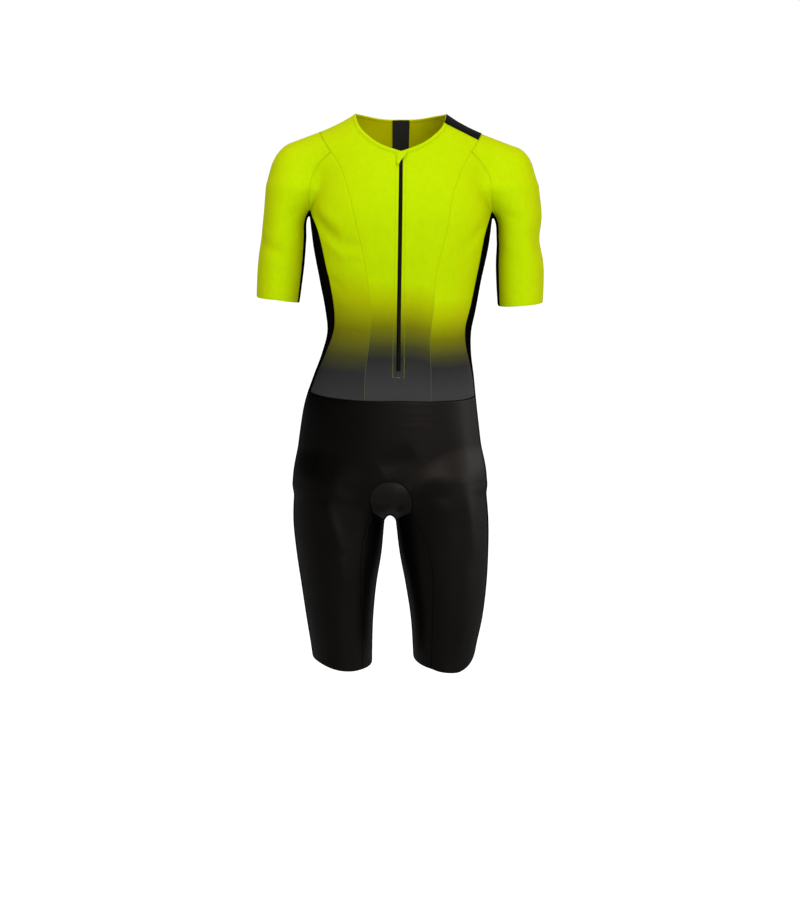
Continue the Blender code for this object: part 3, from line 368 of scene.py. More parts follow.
def outward(points):
    """The unit direction out of the cloth at each point."""
    slope = steepest(points.reshape(-1, 3))
    return (slope / np.linalg.norm(slope, axis=1, keepdims=True)).reshape(points.shape)


Pin = namedtuple("Pin", "x y z cells", defaults=(0,))


def mirrored(pins, shift=0):
    return tuple(pin._replace(x=shift - pin.x) for pin in pins)


def run_along(line):
    """How far each point of a line lies along it."""
    return np.concatenate([[0], np.cumsum(np.linalg.norm(np.diff(line, axis=0), axis=1))])


def read_off(line, run, wanted):
    """The points of a line at the wanted places of its run."""
    return np.stack([np.interp(wanted, run, column) for column in line.T], 1)


def seam(pins, ease=1.0):
    """Points along a smooth line through the pins, as many as the cells between its knots ask."""
    places = fitted(np.array([pin[:3] for pin in pins]))
    at = run_along(places)
    fine_pins = np.arange(LINE_STEPS * (len(pins) - 1) + 1) / LINE_STEPS
    fine_at = np.interp(fine_pins, np.arange(len(pins)), at)
    fine = fitted(smooth(at, places, fine_at), 4)
    run = run_along(fine)
    found = [fine[:1]]
    begin = 0
    for index, pin in enumerate(pins):
        if not pin.cells:
            continue
        end = index * LINE_STEPS
        share = (np.arange(1, pin.cells * FINE + 1) / (pin.cells * FINE)) ** ease
        wanted = run[begin] + share * (run[end] - run[begin])
        found.append(read_off(fine, run, wanted))
        begin = end
    return fitted(np.concatenate(found))


def chain(*seams):
    """Seams that follow each other, as one line."""
    return np.concatenate([seams[0]] + [line[1:] for line in seams[1:]])


def each_side(table):
    return {"right": seam(table), "left": seam(mirrored(table))}


def filled_in(top, bottom, left, right):
    """A grid that runs evenly between four lines of points."""
    across = np.linspace(0, 1, len(top))[None, :, None]
    down = np.linspace(0, 1, len(left))[:, None, None]
    between_ends = (1 - down) * top[None] + down * bottom[None]
    between_sides = (1 - across) * left[:, None] + across * right[:, None]
    corners = (1 - down) * ((1 - across) * top[0] + across * top[-1]) + down * (
        (1 - across) * bottom[0] + across * bottom[-1]
    )
    return between_ends + between_sides - corners


def evened(grid, rounds):
    """The grid drawn out evenly on the form, with its edges left where they are."""
    for _ in range(rounds):
        around = grid[:-2, 1:-1] + grid[2:, 1:-1] + grid[1:-1, :-2] + grid[1:-1, 2:]
        grid[1:-1, 1:-1] = fitted(around / 4, 2)
    return grid


def finer(grid):
    """The grid with FINE cells for each of its cells, along both of its directions."""
    for _ in range(2):
        rows, columns = grid.shape[:2]
        wanted = np.linspace(0, rows - 1, (rows - 1) * FINE + 1)
        between = smooth(np.arange(rows, dtype=float), grid.reshape(rows, -1), wanted)
        grid = between.reshape(-1, columns, 3).transpose(1, 0, 2)
    return grid


def panel(top, bottom, left, right):
    """A grid of rows from the top seam to the bottom one, evened out on the form."""
    lines = (top, bottom, left, right)
    grid = finer(evened(filled_in(*(line[::FINE] for line in lines)), EVENING_ROUNDS))
    grid += filled_in(top - grid[0], bottom - grid[-1], left - grid[:, 0], right - grid[:, -1])
    grid = evened(grid, SMOOTHING_ROUNDS)
    grid[1:-1, 1:-1] = fitted(grid[1:-1, 1:-1], 3)
    return grid


def lifted(grid, heights):
    """The grid moved off the figure, by a height at each point."""
    return grid + outward(grid) * np.broadcast_to(heights, grid.shape[:2])[..., None]


def along_rows(grid):
    """How far each point lies along its row."""
    steps = np.linalg.norm(np.diff(grid, axis=1), axis=2)
    return np.concatenate([np.zeros((len(grid), 1)), np.cumsum(steps, axis=1)], axis=1)


def joined(grids):
    """The points of the grids, merged where they meet, the quads on them turned outward, and the
    place of each corner of a quad in the flat cloth."""
    corners = np.concatenate([grid.reshape(-1, 3) for grid in grids])
    rounded = np.round(corners, MERGED_DECIMALS)
    _, first, number = np.unique(rounded, axis=0, return_index=True, return_inverse=True)
    quads, places, begin = [], [], 0
    for grid in grids:
        rows, columns = grid.shape[:2]
        at = begin + np.arange(rows * columns).reshape(rows, columns)
        ring = np.stack([at[:-1, :-1], at[1:, :-1], at[1:, 1:], at[:-1, 1:]], -1).reshape(-1, 4)
        a, b, c, d = corners[ring.T]
        facing = (np.cross(c - a, d - b) * outward(a)).sum()
        quads.append(ring if facing > 0 else ring[:, ::-1])
        down = along_rows(grid.transpose(1, 0, 2)).T
        places.append(np.stack([along_rows(grid), down], -1).reshape(-1, 2))
        begin += rows * columns
    quads = np.concatenate(quads)
    return corners[first], number.reshape(-1)[quads], np.concatenate(places)[quads]


def free_edges(quads):
    """The edges that only one quad has, in the order that its corners have, and which corners."""
    edges = np.stack([quads, np.roll(quads, -1, axis=1)], -1).reshape(-1, 2)
    size = quads.max() + 1
    alone = ~np.isin(edges[:, 0] * size + edges[:, 1], edges[:, 1] * size + edges[:, 0])
    corner = np.arange(len(edges))[alone]
    following = corner // 4 * 4 + (corner + 1) % 4
    return edges[alone], np.stack([corner, following], 1)


def trimmed(points, normals, edges):
    """The points with every free edge drawn in by half the gap at a seam."""
    turn = np.cross(normals[edges[:, 0]], points[edges[:, 1]] - points[edges[:, 0]])
    turn /= np.linalg.norm(turn, axis=1, keepdims=True)
    total = np.zeros_like(points)
    np.add.at(total, edges[:, 0], turn)
    np.add.at(total, edges[:, 1], turn)
    return points + total * SEAM_GAP / np.maximum((total * total).sum(1), SHARPEST_CORNER)[:, None]


def cloth(name, grids, material, thickness=CLOTH, raised=0.0, rolled=ROLLED, tones=None):
    """A closed wall on the grids, thin at its edges. Tones are values for its points by name."""
    points, quads, places = joined(grids)
    edges, edge_corners = free_edges(quads)
    rim = np.unique(edges)
    normals = outward(points)
    level = np.zeros(len(points), bool)
    level[rim] = [tuple(np.round(points[number], MERGED_DECIMALS)) in WAIST_POINTS for number in rim]
    normals[level, 2] = 0
    normals /= np.linalg.norm(normals, axis=1, keepdims=True)
    half = np.broadcast_to(thickness / 2, len(points)).copy()
    half[rim] = np.minimum(half[rim], rolled)
    lift = raised + crease_height(points)
    middle = trimmed(points, normals, edges) + normals * lift[:, None]
    outer, inner = middle + normals * half[:, None], middle - normals * half[:, None]
    count = len(points)
    a, b = edges.T
    faces = np.concatenate([quads, quads[:, ::-1] + count, np.stack([b, a, a + count, b + count], 1)])
    flat = places.reshape(-1, 2)
    first, second = edge_corners.T
    rim_places = flat[np.stack([second, first, first, second], 1)]
    mesh = bpy.data.meshes.new(name)
    mesh.from_pydata((np.concatenate([outer, inner]) * MM).tolist(), [], faces.tolist())
    mesh.shade_smooth()
    mesh.set_sharp_from_angle(angle=np.radians(SHARP_EDGE))
    lay = mesh.uv_layers.new(name="cut")
    lay.data.foreach_set("uv", np.concatenate([places, places[:, ::-1], rim_places]).ravel() * MM)
    reverse = mesh.attributes.new("reverse", "FLOAT", "POINT")
    reverse.data.foreach_set("value", np.repeat([0.0, 1.0], count))
    for tone, value_at in (tones or {}).items():
        values = np.broadcast_to(value_at(points), count).astype(float)
        mesh.attributes.new(tone, "FLOAT", "POINT").data.foreach_set("value", np.tile(values, 2))
    mesh.materials.append(material)
    piece = bpy.data.objects.new(name, mesh)
    bpy.context.scene.collection.objects.link(piece)
    return piece


Cut = namedtuple("Cut", "width length area", defaults=(None,))


def sewn_in(piece, node):
    """The piece takes its node's place in the suit, hung from the root, with the node's own part hidden."""
    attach(piece, "root")
    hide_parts(node)


def linear(colour):
    """The linear colour of an sRGB hex value."""
    parts = [int(colour[at:at + 2], 16) / 255 for at in (1, 3, 5)]
    return (*(part / 12.92 if part <= 0.04045 else ((part + 0.055) / 1.055) ** 2.4 for part in parts), 1)


def add(tree, kind, links=None, **settings):
    """A node with its settings. Links gives each of its sockets a value, or another node's output."""
    made = tree.nodes.new("ShaderNode" + kind)
    for name, value in settings.items():
        setattr(made, name, value)
    for socket, value in (links or {}).items():
        if isinstance(value, bpy.types.NodeSocket):
            tree.links.new(value, made.inputs[socket])
        else:
            made.inputs[socket].default_value = value
    return made


def new_material(name):
    """A material with nothing in it but its output."""
    material = bpy.data.materials.new(name)
    material.use_nodes = True
    material.node_tree.nodes.clear()
    return material, material.node_tree, add(material.node_tree, "OutputMaterial")


KNIT_LOOP, KNIT_DEPTH = 0.0014, 0.00006
RIB_IN_LOOPS = 9.0     # how high a rib at a cuff or a hem stands, in loops' heights


def knit_relief(tree, strength):
    """Loops along and across the cloth as it was cut, with the ribs that some edges have."""
    cut_place = add(tree, "UVMap", uv_map="cut")
    lengths = add(tree, "SeparateXYZ", {0: cut_place.outputs[0]})
    wales = add(tree, "Math", {0: lengths.outputs[0], 1: 2 * np.pi / KNIT_LOOP}, operation="MULTIPLY")
    courses = add(tree, "Math", {0: lengths.outputs[1], 1: 2 * np.pi / KNIT_LOOP}, operation="MULTIPLY")
    wale = add(tree, "Math", {0: wales.outputs[0]}, operation="SINE")
    course = add(tree, "Math", {0: courses.outputs[0]}, operation="SINE")
    loops = add(tree, "Math", {0: wale.outputs[0], 1: course.outputs[0]}, operation="MULTIPLY")
    ribs = add(tree, "Attribute", attribute_name="rib")
    height = add(tree, "Math", {0: ribs.outputs["Fac"], 1: RIB_IN_LOOPS, 2: loops.outputs[0]},
                 operation="MULTIPLY_ADD")
    return add(tree, "Bump", {"Strength": strength, "Distance": KNIT_DEPTH, "Height": height.outputs[0]})


# A tricot knit of polyamide and elastane, heat-set and dyed by transfer printing on its outer face.
# Its loops are only 0.3 mm wide, so they are drawn 1.4 mm wide to show at all, as a faint grain. It
# looks smooth and nearly matt, with a plainer yellow inside. Where it turns from the eye its yellow
# is painted warmer and less green, as painted shade.
DYE_STEPS = (
    (0.0, "#C7E900"),
    (0.18, "#BAC801"),
    (0.42, "#7C7C0C"),
    (0.60, "#484926"),
    (0.71, "#303030"),
    (1.0, "#404040"),
)
yellow_tricot, tree, output = new_material("yellow_tricot_knit")
relief = knit_relief(tree, 0.5)
dye = add(tree, "Attribute", attribute_name="dye")
ramp = add(tree, "ValToRGB", {"Fac": dye.outputs["Fac"]})
steps = ramp.color_ramp.elements
while len(steps) < len(DYE_STEPS):
    steps.new(0.5)
for step, (position, colour) in zip(steps, DYE_STEPS):
    step.position = position
    step.color = linear(colour)
cloudy = add(tree, "TexNoise", {"Scale": 24.0, "Detail": 3.0, "Roughness": 0.6})
uneven = add(tree, "MapRange", {0: cloudy.outputs[0], 1: 0.3, 2: 0.7, 3: 0.97, 4: 1.02})
printed = add(tree, "Mix", {"Factor": 1.0, 6: ramp.outputs[0], 7: uneven.outputs[0]},
              data_type="RGBA", blend_type="MULTIPLY")
reverse = add(tree, "Attribute", attribute_name="reverse")
undyed = add(tree, "Math", {0: 1.0, 1: dye.outputs["Fac"]}, operation="SUBTRACT")
# Painted shade: where the dyed yellow turns from the eye, it is multiplied towards a warmer, less green
# tone.
facing = add(tree, "LayerWeight", {"Blend": 0.5})
painted_shade_share = add(tree, "MapRange", {
    0: facing.outputs["Facing"], 1: 0.05, 2: 0.6, 3: 0.0, 4: undyed.outputs[0],
})
painted_shade_tint = add(tree, "Mix", {"Factor": painted_shade_share.outputs[0], 6: printed.outputs[2], 7: linear("#FFEAFF")},
             data_type="RGBA", blend_type="MULTIPLY")
unprinted = add(tree, "Math", {0: reverse.outputs["Fac"], 1: undyed.outputs[0]}, operation="MULTIPLY")
both_faces = add(tree, "Mix", {"Factor": unprinted.outputs[0], 6: painted_shade_tint.outputs[2], 7: linear("#EEEE00")},
                 data_type="RGBA")
shader = add(tree, "BsdfPrincipled", {
    "Base Color": both_faces.outputs[2], "Roughness": 0.62, "IOR": 1.5, "Specular IOR Level": 0.02,
    "Normal": relief.outputs[0],
})
tree.links.new(shader.outputs[0], output.inputs[0])

# Each piece is printed on its own, so its yellow turns to grey at heights of its own.
Dye = namedtuple("Dye", "yellow_above grey_below lower_at_left", defaults=(0,))
DYE_SLANT_OVER = 50    # so far to the left of the zip, the dye has come its full way lower


def dyed(dye):
    """The share of grey at points of a piece, which may come lower down towards the suit's left."""
    def share(points):
        drop = dye.lower_at_left * np.clip(points[:, 0] / DYE_SLANT_OVER, 0, 1) ** 2
        below = dye.yellow_above - drop - points[:, 2]
        return np.clip(below / (dye.yellow_above - dye.grey_below), 0, 1)
    return share


BAND_CELLS = 1
NECK_FRONT = (
    Pin(-82.5, -6, -5),
    Pin(-79, -37, -19, BAND_CELLS),
    Pin(-72, -50, -30),
    Pin(-61.5, -59.5, -40),
    Pin(-50, -66, -49),
    Pin(-37.5, -71.5, -56),
    Pin(-22.5, -75, -62),
    Pin(-3, -79, -68, 5),
)
SHOULDER = (Pin(-82.5, -6, -5), Pin(-112, -5, -16), Pin(-141, 2, -30, 4))
BAND_EDGE = (Pin(-79, -37, -19), Pin(-112, -31, -35), Pin(-133, -27, -45, 4))
SLEEVE_TOP_FRONT = (
    Pin(-141, 2, -30),
    Pin(-133, -27, -45, BAND_CELLS),
    Pin(-128, -38, -53),
    Pin(-120, -47, -64, 2),
)
PRINCESS_RIGHT = (
    Pin(-120, -47, -64),
    Pin(-104, -64, -88),
    Pin(-92, -86, -121),
    Pin(-76, -106, -185),
    Pin(-58, -105, -273),
    Pin(-52, -100, -341),
    Pin(-54, -97, -380),
    Pin(-62, -99, -450),
    Pin(-63, -100, -488, 16),
)
PRINCESS_LEFT = (
    Pin(120, -47, -64),
    Pin(99, -75, -105),
    Pin(86, -96, -145),
    Pin(78, -105, -195),
    Pin(61, -105, -263),
    Pin(55, -99, -335),
    Pin(50, -96, -385),
    Pin(51, -95, -430),
    Pin(52, -96, -490, 16),
)
SLOT_RIGHT = (
    Pin(-3, -79, -68),
    Pin(-4, -105, -140),
    Pin(-5.3, -117, -228),
    Pin(-7.3, -104, -365),
    Pin(-7.8, -103, -436, 16),
    Pin(-8.3, -104, -488, 2),
)
SLOT_LEFT = (
    Pin(3, -79, -68),
    Pin(2.4, -105, -140),
    Pin(1.3, -117, -228),
    Pin(-0.7, -104, -365),
    Pin(-1.2, -103, -436, 16),
    Pin(-1.7, -104, -488, 2),
)

# The seam round the waist, from the centre back past the wearer's right side, the front and the
# left side. The body's pieces and the shorts' pieces divide it at their own seams.
WaistPin = namedtuple("WaistPin", "x y z body shorts")
WAIST = (
    WaistPin(-22, 90, -485, 0, 0),
    WaistPin(-78, 85, -484, 0, 4),
    WaistPin(-128, 66, -482, 0, 0),
    WaistPin(-154, 36, -481, 9, 0),
    WaistPin(-161, 10, -481, 0, 4),
    WaistPin(-157, -30, -482, 4, 0),
    WaistPin(-128, -73, -485, 0, 0),
    WaistPin(-92, -92, -487, 0, 4),
    WaistPin(-63, -100, -488, 5, 0),
    WaistPin(-8.3, -104, -488, 9, 0),
    WaistPin(-5, -104, -488, 0, 4),
    WaistPin(-1.7, -104, -488, 1, 0),
    WaistPin(52, -96, -490, 9, 0),
    WaistPin(68, -91, -490, 0, 4),
    WaistPin(104, -66, -491, 0, 0),
    WaistPin(126, -24, -490, 5, 0),
    WaistPin(130, 10, -490, 0, 4),
    WaistPin(123, 36, -489, 4, 0),
    WaistPin(94, 67, -487, 0, 0),
    WaistPin(42, 85, -486, 0, 4),
    WaistPin(-22, 90, -485, 9, 4),
)


def ring_parts(pins):
    """A ring's line, cut at every knot."""
    line = seam(pins)
    knots = np.cumsum([pin.cells for pin in pins if pin.cells]) * FINE
    return [line[a:b + 1] for a, b in zip([0, *knots], knots)]


body_waist = ring_parts([Pin(pin.x, pin.y, pin.z, pin.body) for pin in WAIST])
shorts_waist = ring_parts([Pin(pin.x, pin.y, pin.z, pin.shorts) for pin in WAIST])
# Rims at the waist lie level, because the cells above and below it don't meet one to one.
WAIST_POINTS = {
    tuple(np.round(point, MERGED_DECIMALS)) for run in body_waist + shorts_waist for point in run
}
waist_front = {"right": body_waist[3][::-1], "left": body_waist[5]}

neck_front, shoulder, band_edge = each_side(NECK_FRONT), each_side(SHOULDER), each_side(BAND_EDGE)
sleeve_top_front = each_side(SLEEVE_TOP_FRONT)
princess = {"right": seam(PRINCESS_RIGHT), "left": seam(PRINCESS_LEFT)}
slot = {"right": seam(SLOT_RIGHT), "left": seam(SLOT_LEFT)}


def top_of_shoulder(side):
    """The strip of the front along the shoulder seam, as wide as the band that lies on it."""
    count = BAND_CELLS * FINE + 1
    return panel(shoulder[side], band_edge[side], neck_front[side][:count], sleeve_top_front[side][:count])


def front_half(side):
    """From the zip's slot outward to the princess seam, with the neck and the strip at the top."""
    top = chain(neck_front[side][:BAND_CELLS * FINE - 1:-1], band_edge[side])
    outer = chain(sleeve_top_front[side][BAND_CELLS * FINE:], princess[side])
    return panel(top, waist_front[side], slot[side], outer)


SLOT_ROWS = SLOT_RIGHT[-2].cells * FINE
front_top = {side: top_of_shoulder(side) for side in SIDES}
front = {side: front_half(side) for side in SIDES}
ends_below = slot["right"][SLOT_ROWS:], slot["left"][SLOT_ROWS:]
below_slot = np.stack([ends_below[0] * (1 - share) + ends_below[1] * share
                       for share in np.linspace(0, 1, FINE + 1)], 1)
below_slot[:, 1:-1] = fitted(below_slot[:, 1:-1])
below_slot[-1] = body_waist[4]
front_centre = cloth(
    "front_centre_knit", [front_top["right"], front["right"], below_slot, front["left"], front_top["left"]],
    yellow_tricot, tones={"dye": dyed(Dye(-280, -470, 9))},
)
sewn_in(front_centre, "front_centre")


# ==== Front, side pieces ====
# A tapering piece on each side of the front, of the same yellow tricot, joined to the centre by a
# flat seam that curves from the armhole down to the waist.

SLEEVE_FRONT = (
    Pin(-120, -47, -64),
    Pin(-139, -44, -83),
    Pin(-153, -45, -108),
    Pin(-158, -48, -132),
    Pin(-159, -38, -150),
    Pin(-160, -20, -165, 5),
)
SIDE_FRONT_RIGHT = (
    Pin(-160, -20, -165),
    Pin(-155, -37, -177),
    Pin(-147, -50, -192),
    Pin(-139, -59, -220),
    Pin(-131, -61, -256),
    Pin(-119, -61, -318),
    Pin(-116, -55, -356),
    Pin(-124, -41, -395),
    Pin(-140, -31, -438),
    Pin(-157, -30, -482, 16),
)
SIDE_FRONT_LEFT = (
    Pin(160, -20, -165),
    Pin(155, -34, -177),
    Pin(149, -46, -194),
    Pin(142, -52, -220),
    Pin(134, -50, -266),
    Pin(122, -50, -325),
    Pin(112, -52, -365),
    Pin(112, -43, -400),
    Pin(119, -28, -440),
    Pin(126, -24, -490, 16),
)
FRONT_SIDE_DYES = {"right": Dye(-264, -512), "left": Dye(-313, -481)}

sleeve_front = each_side(SLEEVE_FRONT)
side_front = {"right": seam(SIDE_FRONT_RIGHT, ARMPIT_EASE), "left": seam(SIDE_FRONT_LEFT, ARMPIT_EASE)}
waist_front_side = {"right": body_waist[2][::-1], "left": body_waist[6]}
for side in SIDES:
    grid = panel(sleeve_front[side], waist_front_side[side], princess[side], side_front[side])
    piece = cloth("front_side_" + side + "_knit", [grid], yellow_tricot,
                  tones={"dye": dyed(FRONT_SIDE_DYES[side])})
    sewn_in(piece, "front_side_" + side)


# ==== Back ====
# One broad piece from the neck and the shoulders to the waist, of the same tricot and dyed like the
# front. It has no seam down its middle.

NECK_BACK = (
    Pin(-82.5, -6, -5),
    Pin(-80, 24, -4),
    Pin(-66, 48, -7),
    Pin(-38, 69, -12),
    Pin(-19, 74, -14),
    Pin(0, 75, -14, 5),
)
SLEEVE_TOP_BACK = (Pin(-141, 2, -30), Pin(-139, 31, -37), Pin(-124, 60, -66, 3))
SLEEVE_BACK = (
    Pin(-124, 60, -66),
    Pin(-139, 60, -90),
    Pin(-153, 58, -112),
    Pin(-157, 57, -134),
    Pin(-159, 44, -152),
    Pin(-160, 26, -166, 5),
)
SIDE_BACK_RIGHT = (
    Pin(-160, 26, -166),
    Pin(-155, 42, -178),
    Pin(-148, 53, -196),
    Pin(-139, 60, -226),
    Pin(-124, 62, -290),
    Pin(-116, 56, -345),
    Pin(-119, 46, -392),
    Pin(-136, 38, -436),
    Pin(-154, 36, -481, 16),
)
SIDE_BACK_LEFT = (
    Pin(160, 26, -166),
    Pin(155, 42, -178),
    Pin(148, 53, -196),
    Pin(138, 60, -226),
    Pin(122, 62, -290),
    Pin(111, 56, -345),
    Pin(109, 46, -392),
    Pin(114, 38, -436),
    Pin(123, 36, -489, 16),
)
CENTRE_BACK = (
    Pin(0, 75, -14),
    Pin(-1, 108, -80),
    Pin(-2, 119, -180),
    Pin(-4, 98, -300),
    Pin(-9, 79, -400),
    Pin(-22, 90, -485, 24),
)

neck_back, sleeve_top_back = each_side(NECK_BACK), each_side(SLEEVE_TOP_BACK)
sleeve_back = each_side(SLEEVE_BACK)
side_back = {"right": seam(SIDE_BACK_RIGHT, ARMPIT_EASE), "left": seam(SIDE_BACK_LEFT, ARMPIT_EASE)}
centre_back = seam(CENTRE_BACK)
waist_back = {"right": body_waist[0], "left": body_waist[8][::-1]}


def back_half(side):
    """From the centre back outward, under the shoulder, sleeve and side panel."""
    top = chain(neck_back[side][::-1], shoulder[side])
    outer = chain(sleeve_top_back[side], sleeve_back[side], side_back[side])
    return panel(top, waist_back[side], centre_back, outer)


back_halves = {side: back_half(side) for side in SIDES}
back = cloth("back_knit", list(back_halves.values()), yellow_tricot, tones={"dye": dyed(Dye(-285, -475))})
sewn_in(back, "back")


# ==== Side panels ====
# A black strip of open knit under each arm, from the armpit to the waist, narrow at the waist. It
# lets air through, so it is duller and darker than the tricot beside it.

ARMPIT = (Pin(-160, -20, -165), Pin(-160, 3, -174), Pin(-160, 26, -166, 4))

# A warp-knitted mesh of black polyester with rows of small round holes 2.4 mm apart. The holes and
# the ridges between them scatter the light, so it looks flat black with a faint dotted grain.
MESH_PITCH = 0.0024
black_mesh, tree, output = new_material("black_mesh_knit")
cut_place = add(tree, "UVMap", uv_map="cut")
stretched = add(tree, "VectorMath", {0: cut_place.outputs[0], 1: [1 / MESH_PITCH] * 3},
                operation="MULTIPLY")
holes = add(tree, "TexVoronoi", {"Vector": stretched.outputs[0], "Scale": 1.0, "Randomness": 0.12})
hole = add(tree, "MapRange", {0: holes.outputs["Distance"], 1: 0.18, 2: 0.40, 3: 0.0, 4: 1.0})
relief = add(tree, "Bump", {"Strength": 0.6, "Distance": 0.0003, "Height": hole.outputs[0]})
# The holes are painted darker than the threads round them, as painted shade for the dark inside seen
# through them.
weave_colour = add(tree, "ValToRGB", {"Fac": hole.outputs[0]})
weave_colour.color_ramp.elements[0].color = linear("#010101")
weave_colour.color_ramp.elements[1].color = linear("#0A0A09")
shader = add(tree, "BsdfPrincipled", {
    "Base Color": weave_colour.outputs[0], "Roughness": 0.8, "IOR": 1.5, "Specular IOR Level": 0.0,
    "Normal": relief.outputs[0],
})
tree.links.new(shader.outputs[0], output.inputs[0])

armpit = each_side(ARMPIT)
waist_side = {"right": body_waist[1][::-1], "left": body_waist[7]}
for side in SIDES:
    grid = panel(armpit[side], waist_side[side], side_front[side], side_back[side])
    piece = cloth("side_panel_" + side + "_mesh", [grid], black_mesh)
    sewn_in(piece, "side_panel_" + side)


# ==== Sleeves ====
# Raglan sleeves, each one piece of yellow tricot over the shoulder from the front seam to the back
# one. The cuff is raw-cut, with fine silicone-backed ribs inside its last 20 mm that show through.

# Lines of a sleeve from its armhole to its cuff: over the top, down the front and back, and on both
# sides of the strip under the arm.
SLEEVE_ROWS = 10
ARM_LINES_RIGHT = {
    "top": (Pin(-141, 2, -30), Pin(-187, 0, -49), Pin(-230, 4, -109), Pin(-241, 4, -190),
            Pin(-250, 3, -268), Pin(-252, 2, -316, SLEEVE_ROWS)),
    "front": (Pin(-120, -47, -64), Pin(-160, -43, -98), Pin(-186, -57, -140), Pin(-202, -54, -200),
              Pin(-210, -53, -260), Pin(-214, -52, -319, SLEEVE_ROWS)),
    "back": (Pin(-124, 60, -66), Pin(-160, 58, -101), Pin(-188, 67, -150), Pin(-202, 64, -200),
             Pin(-210, 60, -260), Pin(-214, 56, -321, SLEEVE_ROWS)),
    "under_front": (Pin(-160, -20, -165), Pin(-165, -22, -205), Pin(-169, -20, -250),
                    Pin(-177, -18, -326, SLEEVE_ROWS)),
    "under_back": (Pin(-160, 26, -166), Pin(-165, 28, -205), Pin(-169, 28, -250),
                   Pin(-177, 26, -327, SLEEVE_ROWS)),
}
ARM_LINES_LEFT = {
    "top": (Pin(141, 2, -30), Pin(187, -1, -54), Pin(234, 4, -108), Pin(244, 4, -190),
            Pin(249, 3, -268), Pin(249, 2, -326, SLEEVE_ROWS)),
    "front": (Pin(120, -47, -64), Pin(159, -42, -100), Pin(187, -57, -140), Pin(203, -54, -200),
              Pin(208, -53, -260), Pin(209, -52, -329, SLEEVE_ROWS)),
    "back": (Pin(124, 60, -66), Pin(159, 57, -102), Pin(188, 67, -150), Pin(203, 64, -200),
             Pin(208, 60, -260), Pin(209, 56, -330, SLEEVE_ROWS)),
    "under_front": (Pin(160, -20, -165), Pin(165, -22, -205), Pin(168, -20, -250),
                    Pin(171, -18, -332, SLEEVE_ROWS)),
    "under_back": (Pin(160, 26, -166), Pin(165, 28, -205), Pin(168, 28, -250),
                   Pin(171, 26, -332, SLEEVE_ROWS)),
}

# Each cuff is a ring from the front seam of its under strip round the outside and back.
CUFF_RIGHT = (
    Pin(-177, -18, -326),
    Pin(-190, -44, -323),
    Pin(-214, -52, -319, 5),
    Pin(-241, -38, -317),
    Pin(-252, 2, -316, 3),
    Pin(-241, 42, -318),
    Pin(-214, 56, -321, 3),
    Pin(-190, 46, -325),
    Pin(-177, 26, -327, 5),
    Pin(-174, 4, -327),
    Pin(-177, -18, -326, 4),
)
CUFF_LEFT = (
    Pin(171, -18, -332),
    Pin(184, -44, -331),
    Pin(209, -52, -329, 5),
    Pin(237, -38, -327),
    Pin(249, 2, -326, 3),
    Pin(237, 42, -328),
    Pin(209, 56, -330, 3),
    Pin(184, 46, -332),
    Pin(171, 26, -332, 5),
    Pin(168, 4, -332),
    Pin(171, -18, -332, 4),
)
CUFF_BAND, RIB_PITCH, RIBS_FADE_OVER = 20, 4.2, 3
POINTS_AT_ONCE = 500   # points whose distances to an edge are worked out together


def ribbed(edge, band):
    """Ribs on the band of cloth that ends at an edge, running straight up from it."""
    edge = np.concatenate(edge)
    middle = edge.mean(0)

    def height(points):
        away = np.concatenate([
            np.linalg.norm(some[:, None] - edge[None], axis=2).min(1)
            for some in np.array_split(points, max(len(points) // POINTS_AT_ONCE, 1))
        ])
        turn = np.arctan2(points[:, 1] - middle[1], points[:, 0] - middle[0])
        round_it = turn * np.linalg.norm(edge[:, :2] - middle[:2], axis=1).mean()
        on_band = np.clip((band - away) / RIBS_FADE_OVER, 0, 1)
        return on_band * (0.5 + 0.5 * np.sin(round_it * 2 * np.pi / RIB_PITCH))
    return height


ARM_LINES = {"right": ARM_LINES_RIGHT, "left": ARM_LINES_LEFT}
CUFFS = {"right": CUFF_RIGHT, "left": CUFF_LEFT}
EASED = ("under_front", "under_back")
arm_lines, cuffs = {}, {}
for side in SIDES:
    line = {
        name: seam(pins, ARMPIT_EASE if name in EASED else 1) for name, pins in ARM_LINES[side].items()
    }
    cuff = ring_parts(CUFFS[side])
    arm_lines[side], cuffs[side] = line, cuff
    sleeve = [
        panel(sleeve_front[side][::-1], cuff[0], line["under_front"], line["front"]),
        panel(sleeve_top_front[side][::-1], cuff[1], line["front"], line["top"]),
        panel(sleeve_top_back[side], cuff[2], line["top"], line["back"]),
        panel(sleeve_back[side], cuff[3], line["back"], line["under_back"]),
    ]
    piece = cloth("sleeve_" + side + "_knit", sleeve, yellow_tricot,
                  tones={"rib": ribbed(cuff, CUFF_BAND)})
    sewn_in(piece, "sleeve_" + side)


# ==== Strips under the arms ====
# The side panel's mesh goes on under each arm, as a strip from the armpit to the cuff. It is sewn
# in between the front and the back edge of the sleeve.

for side in SIDES:
    line = arm_lines[side]
    grid = panel(armpit[side], cuffs[side][4][::-1], line["under_front"], line["under_back"])
    piece = cloth("under_arm_" + side + "_mesh", [grid], black_mesh)
    sewn_in(piece, "under_arm_" + side)


# ==== Shorts ====
# A front of one piece, two backs that join down the seat, and a piece inside each thigh, all of
# black tricot. Each leg ends in a raw-cut hem with ribs on its last 32 mm that grip the thigh.

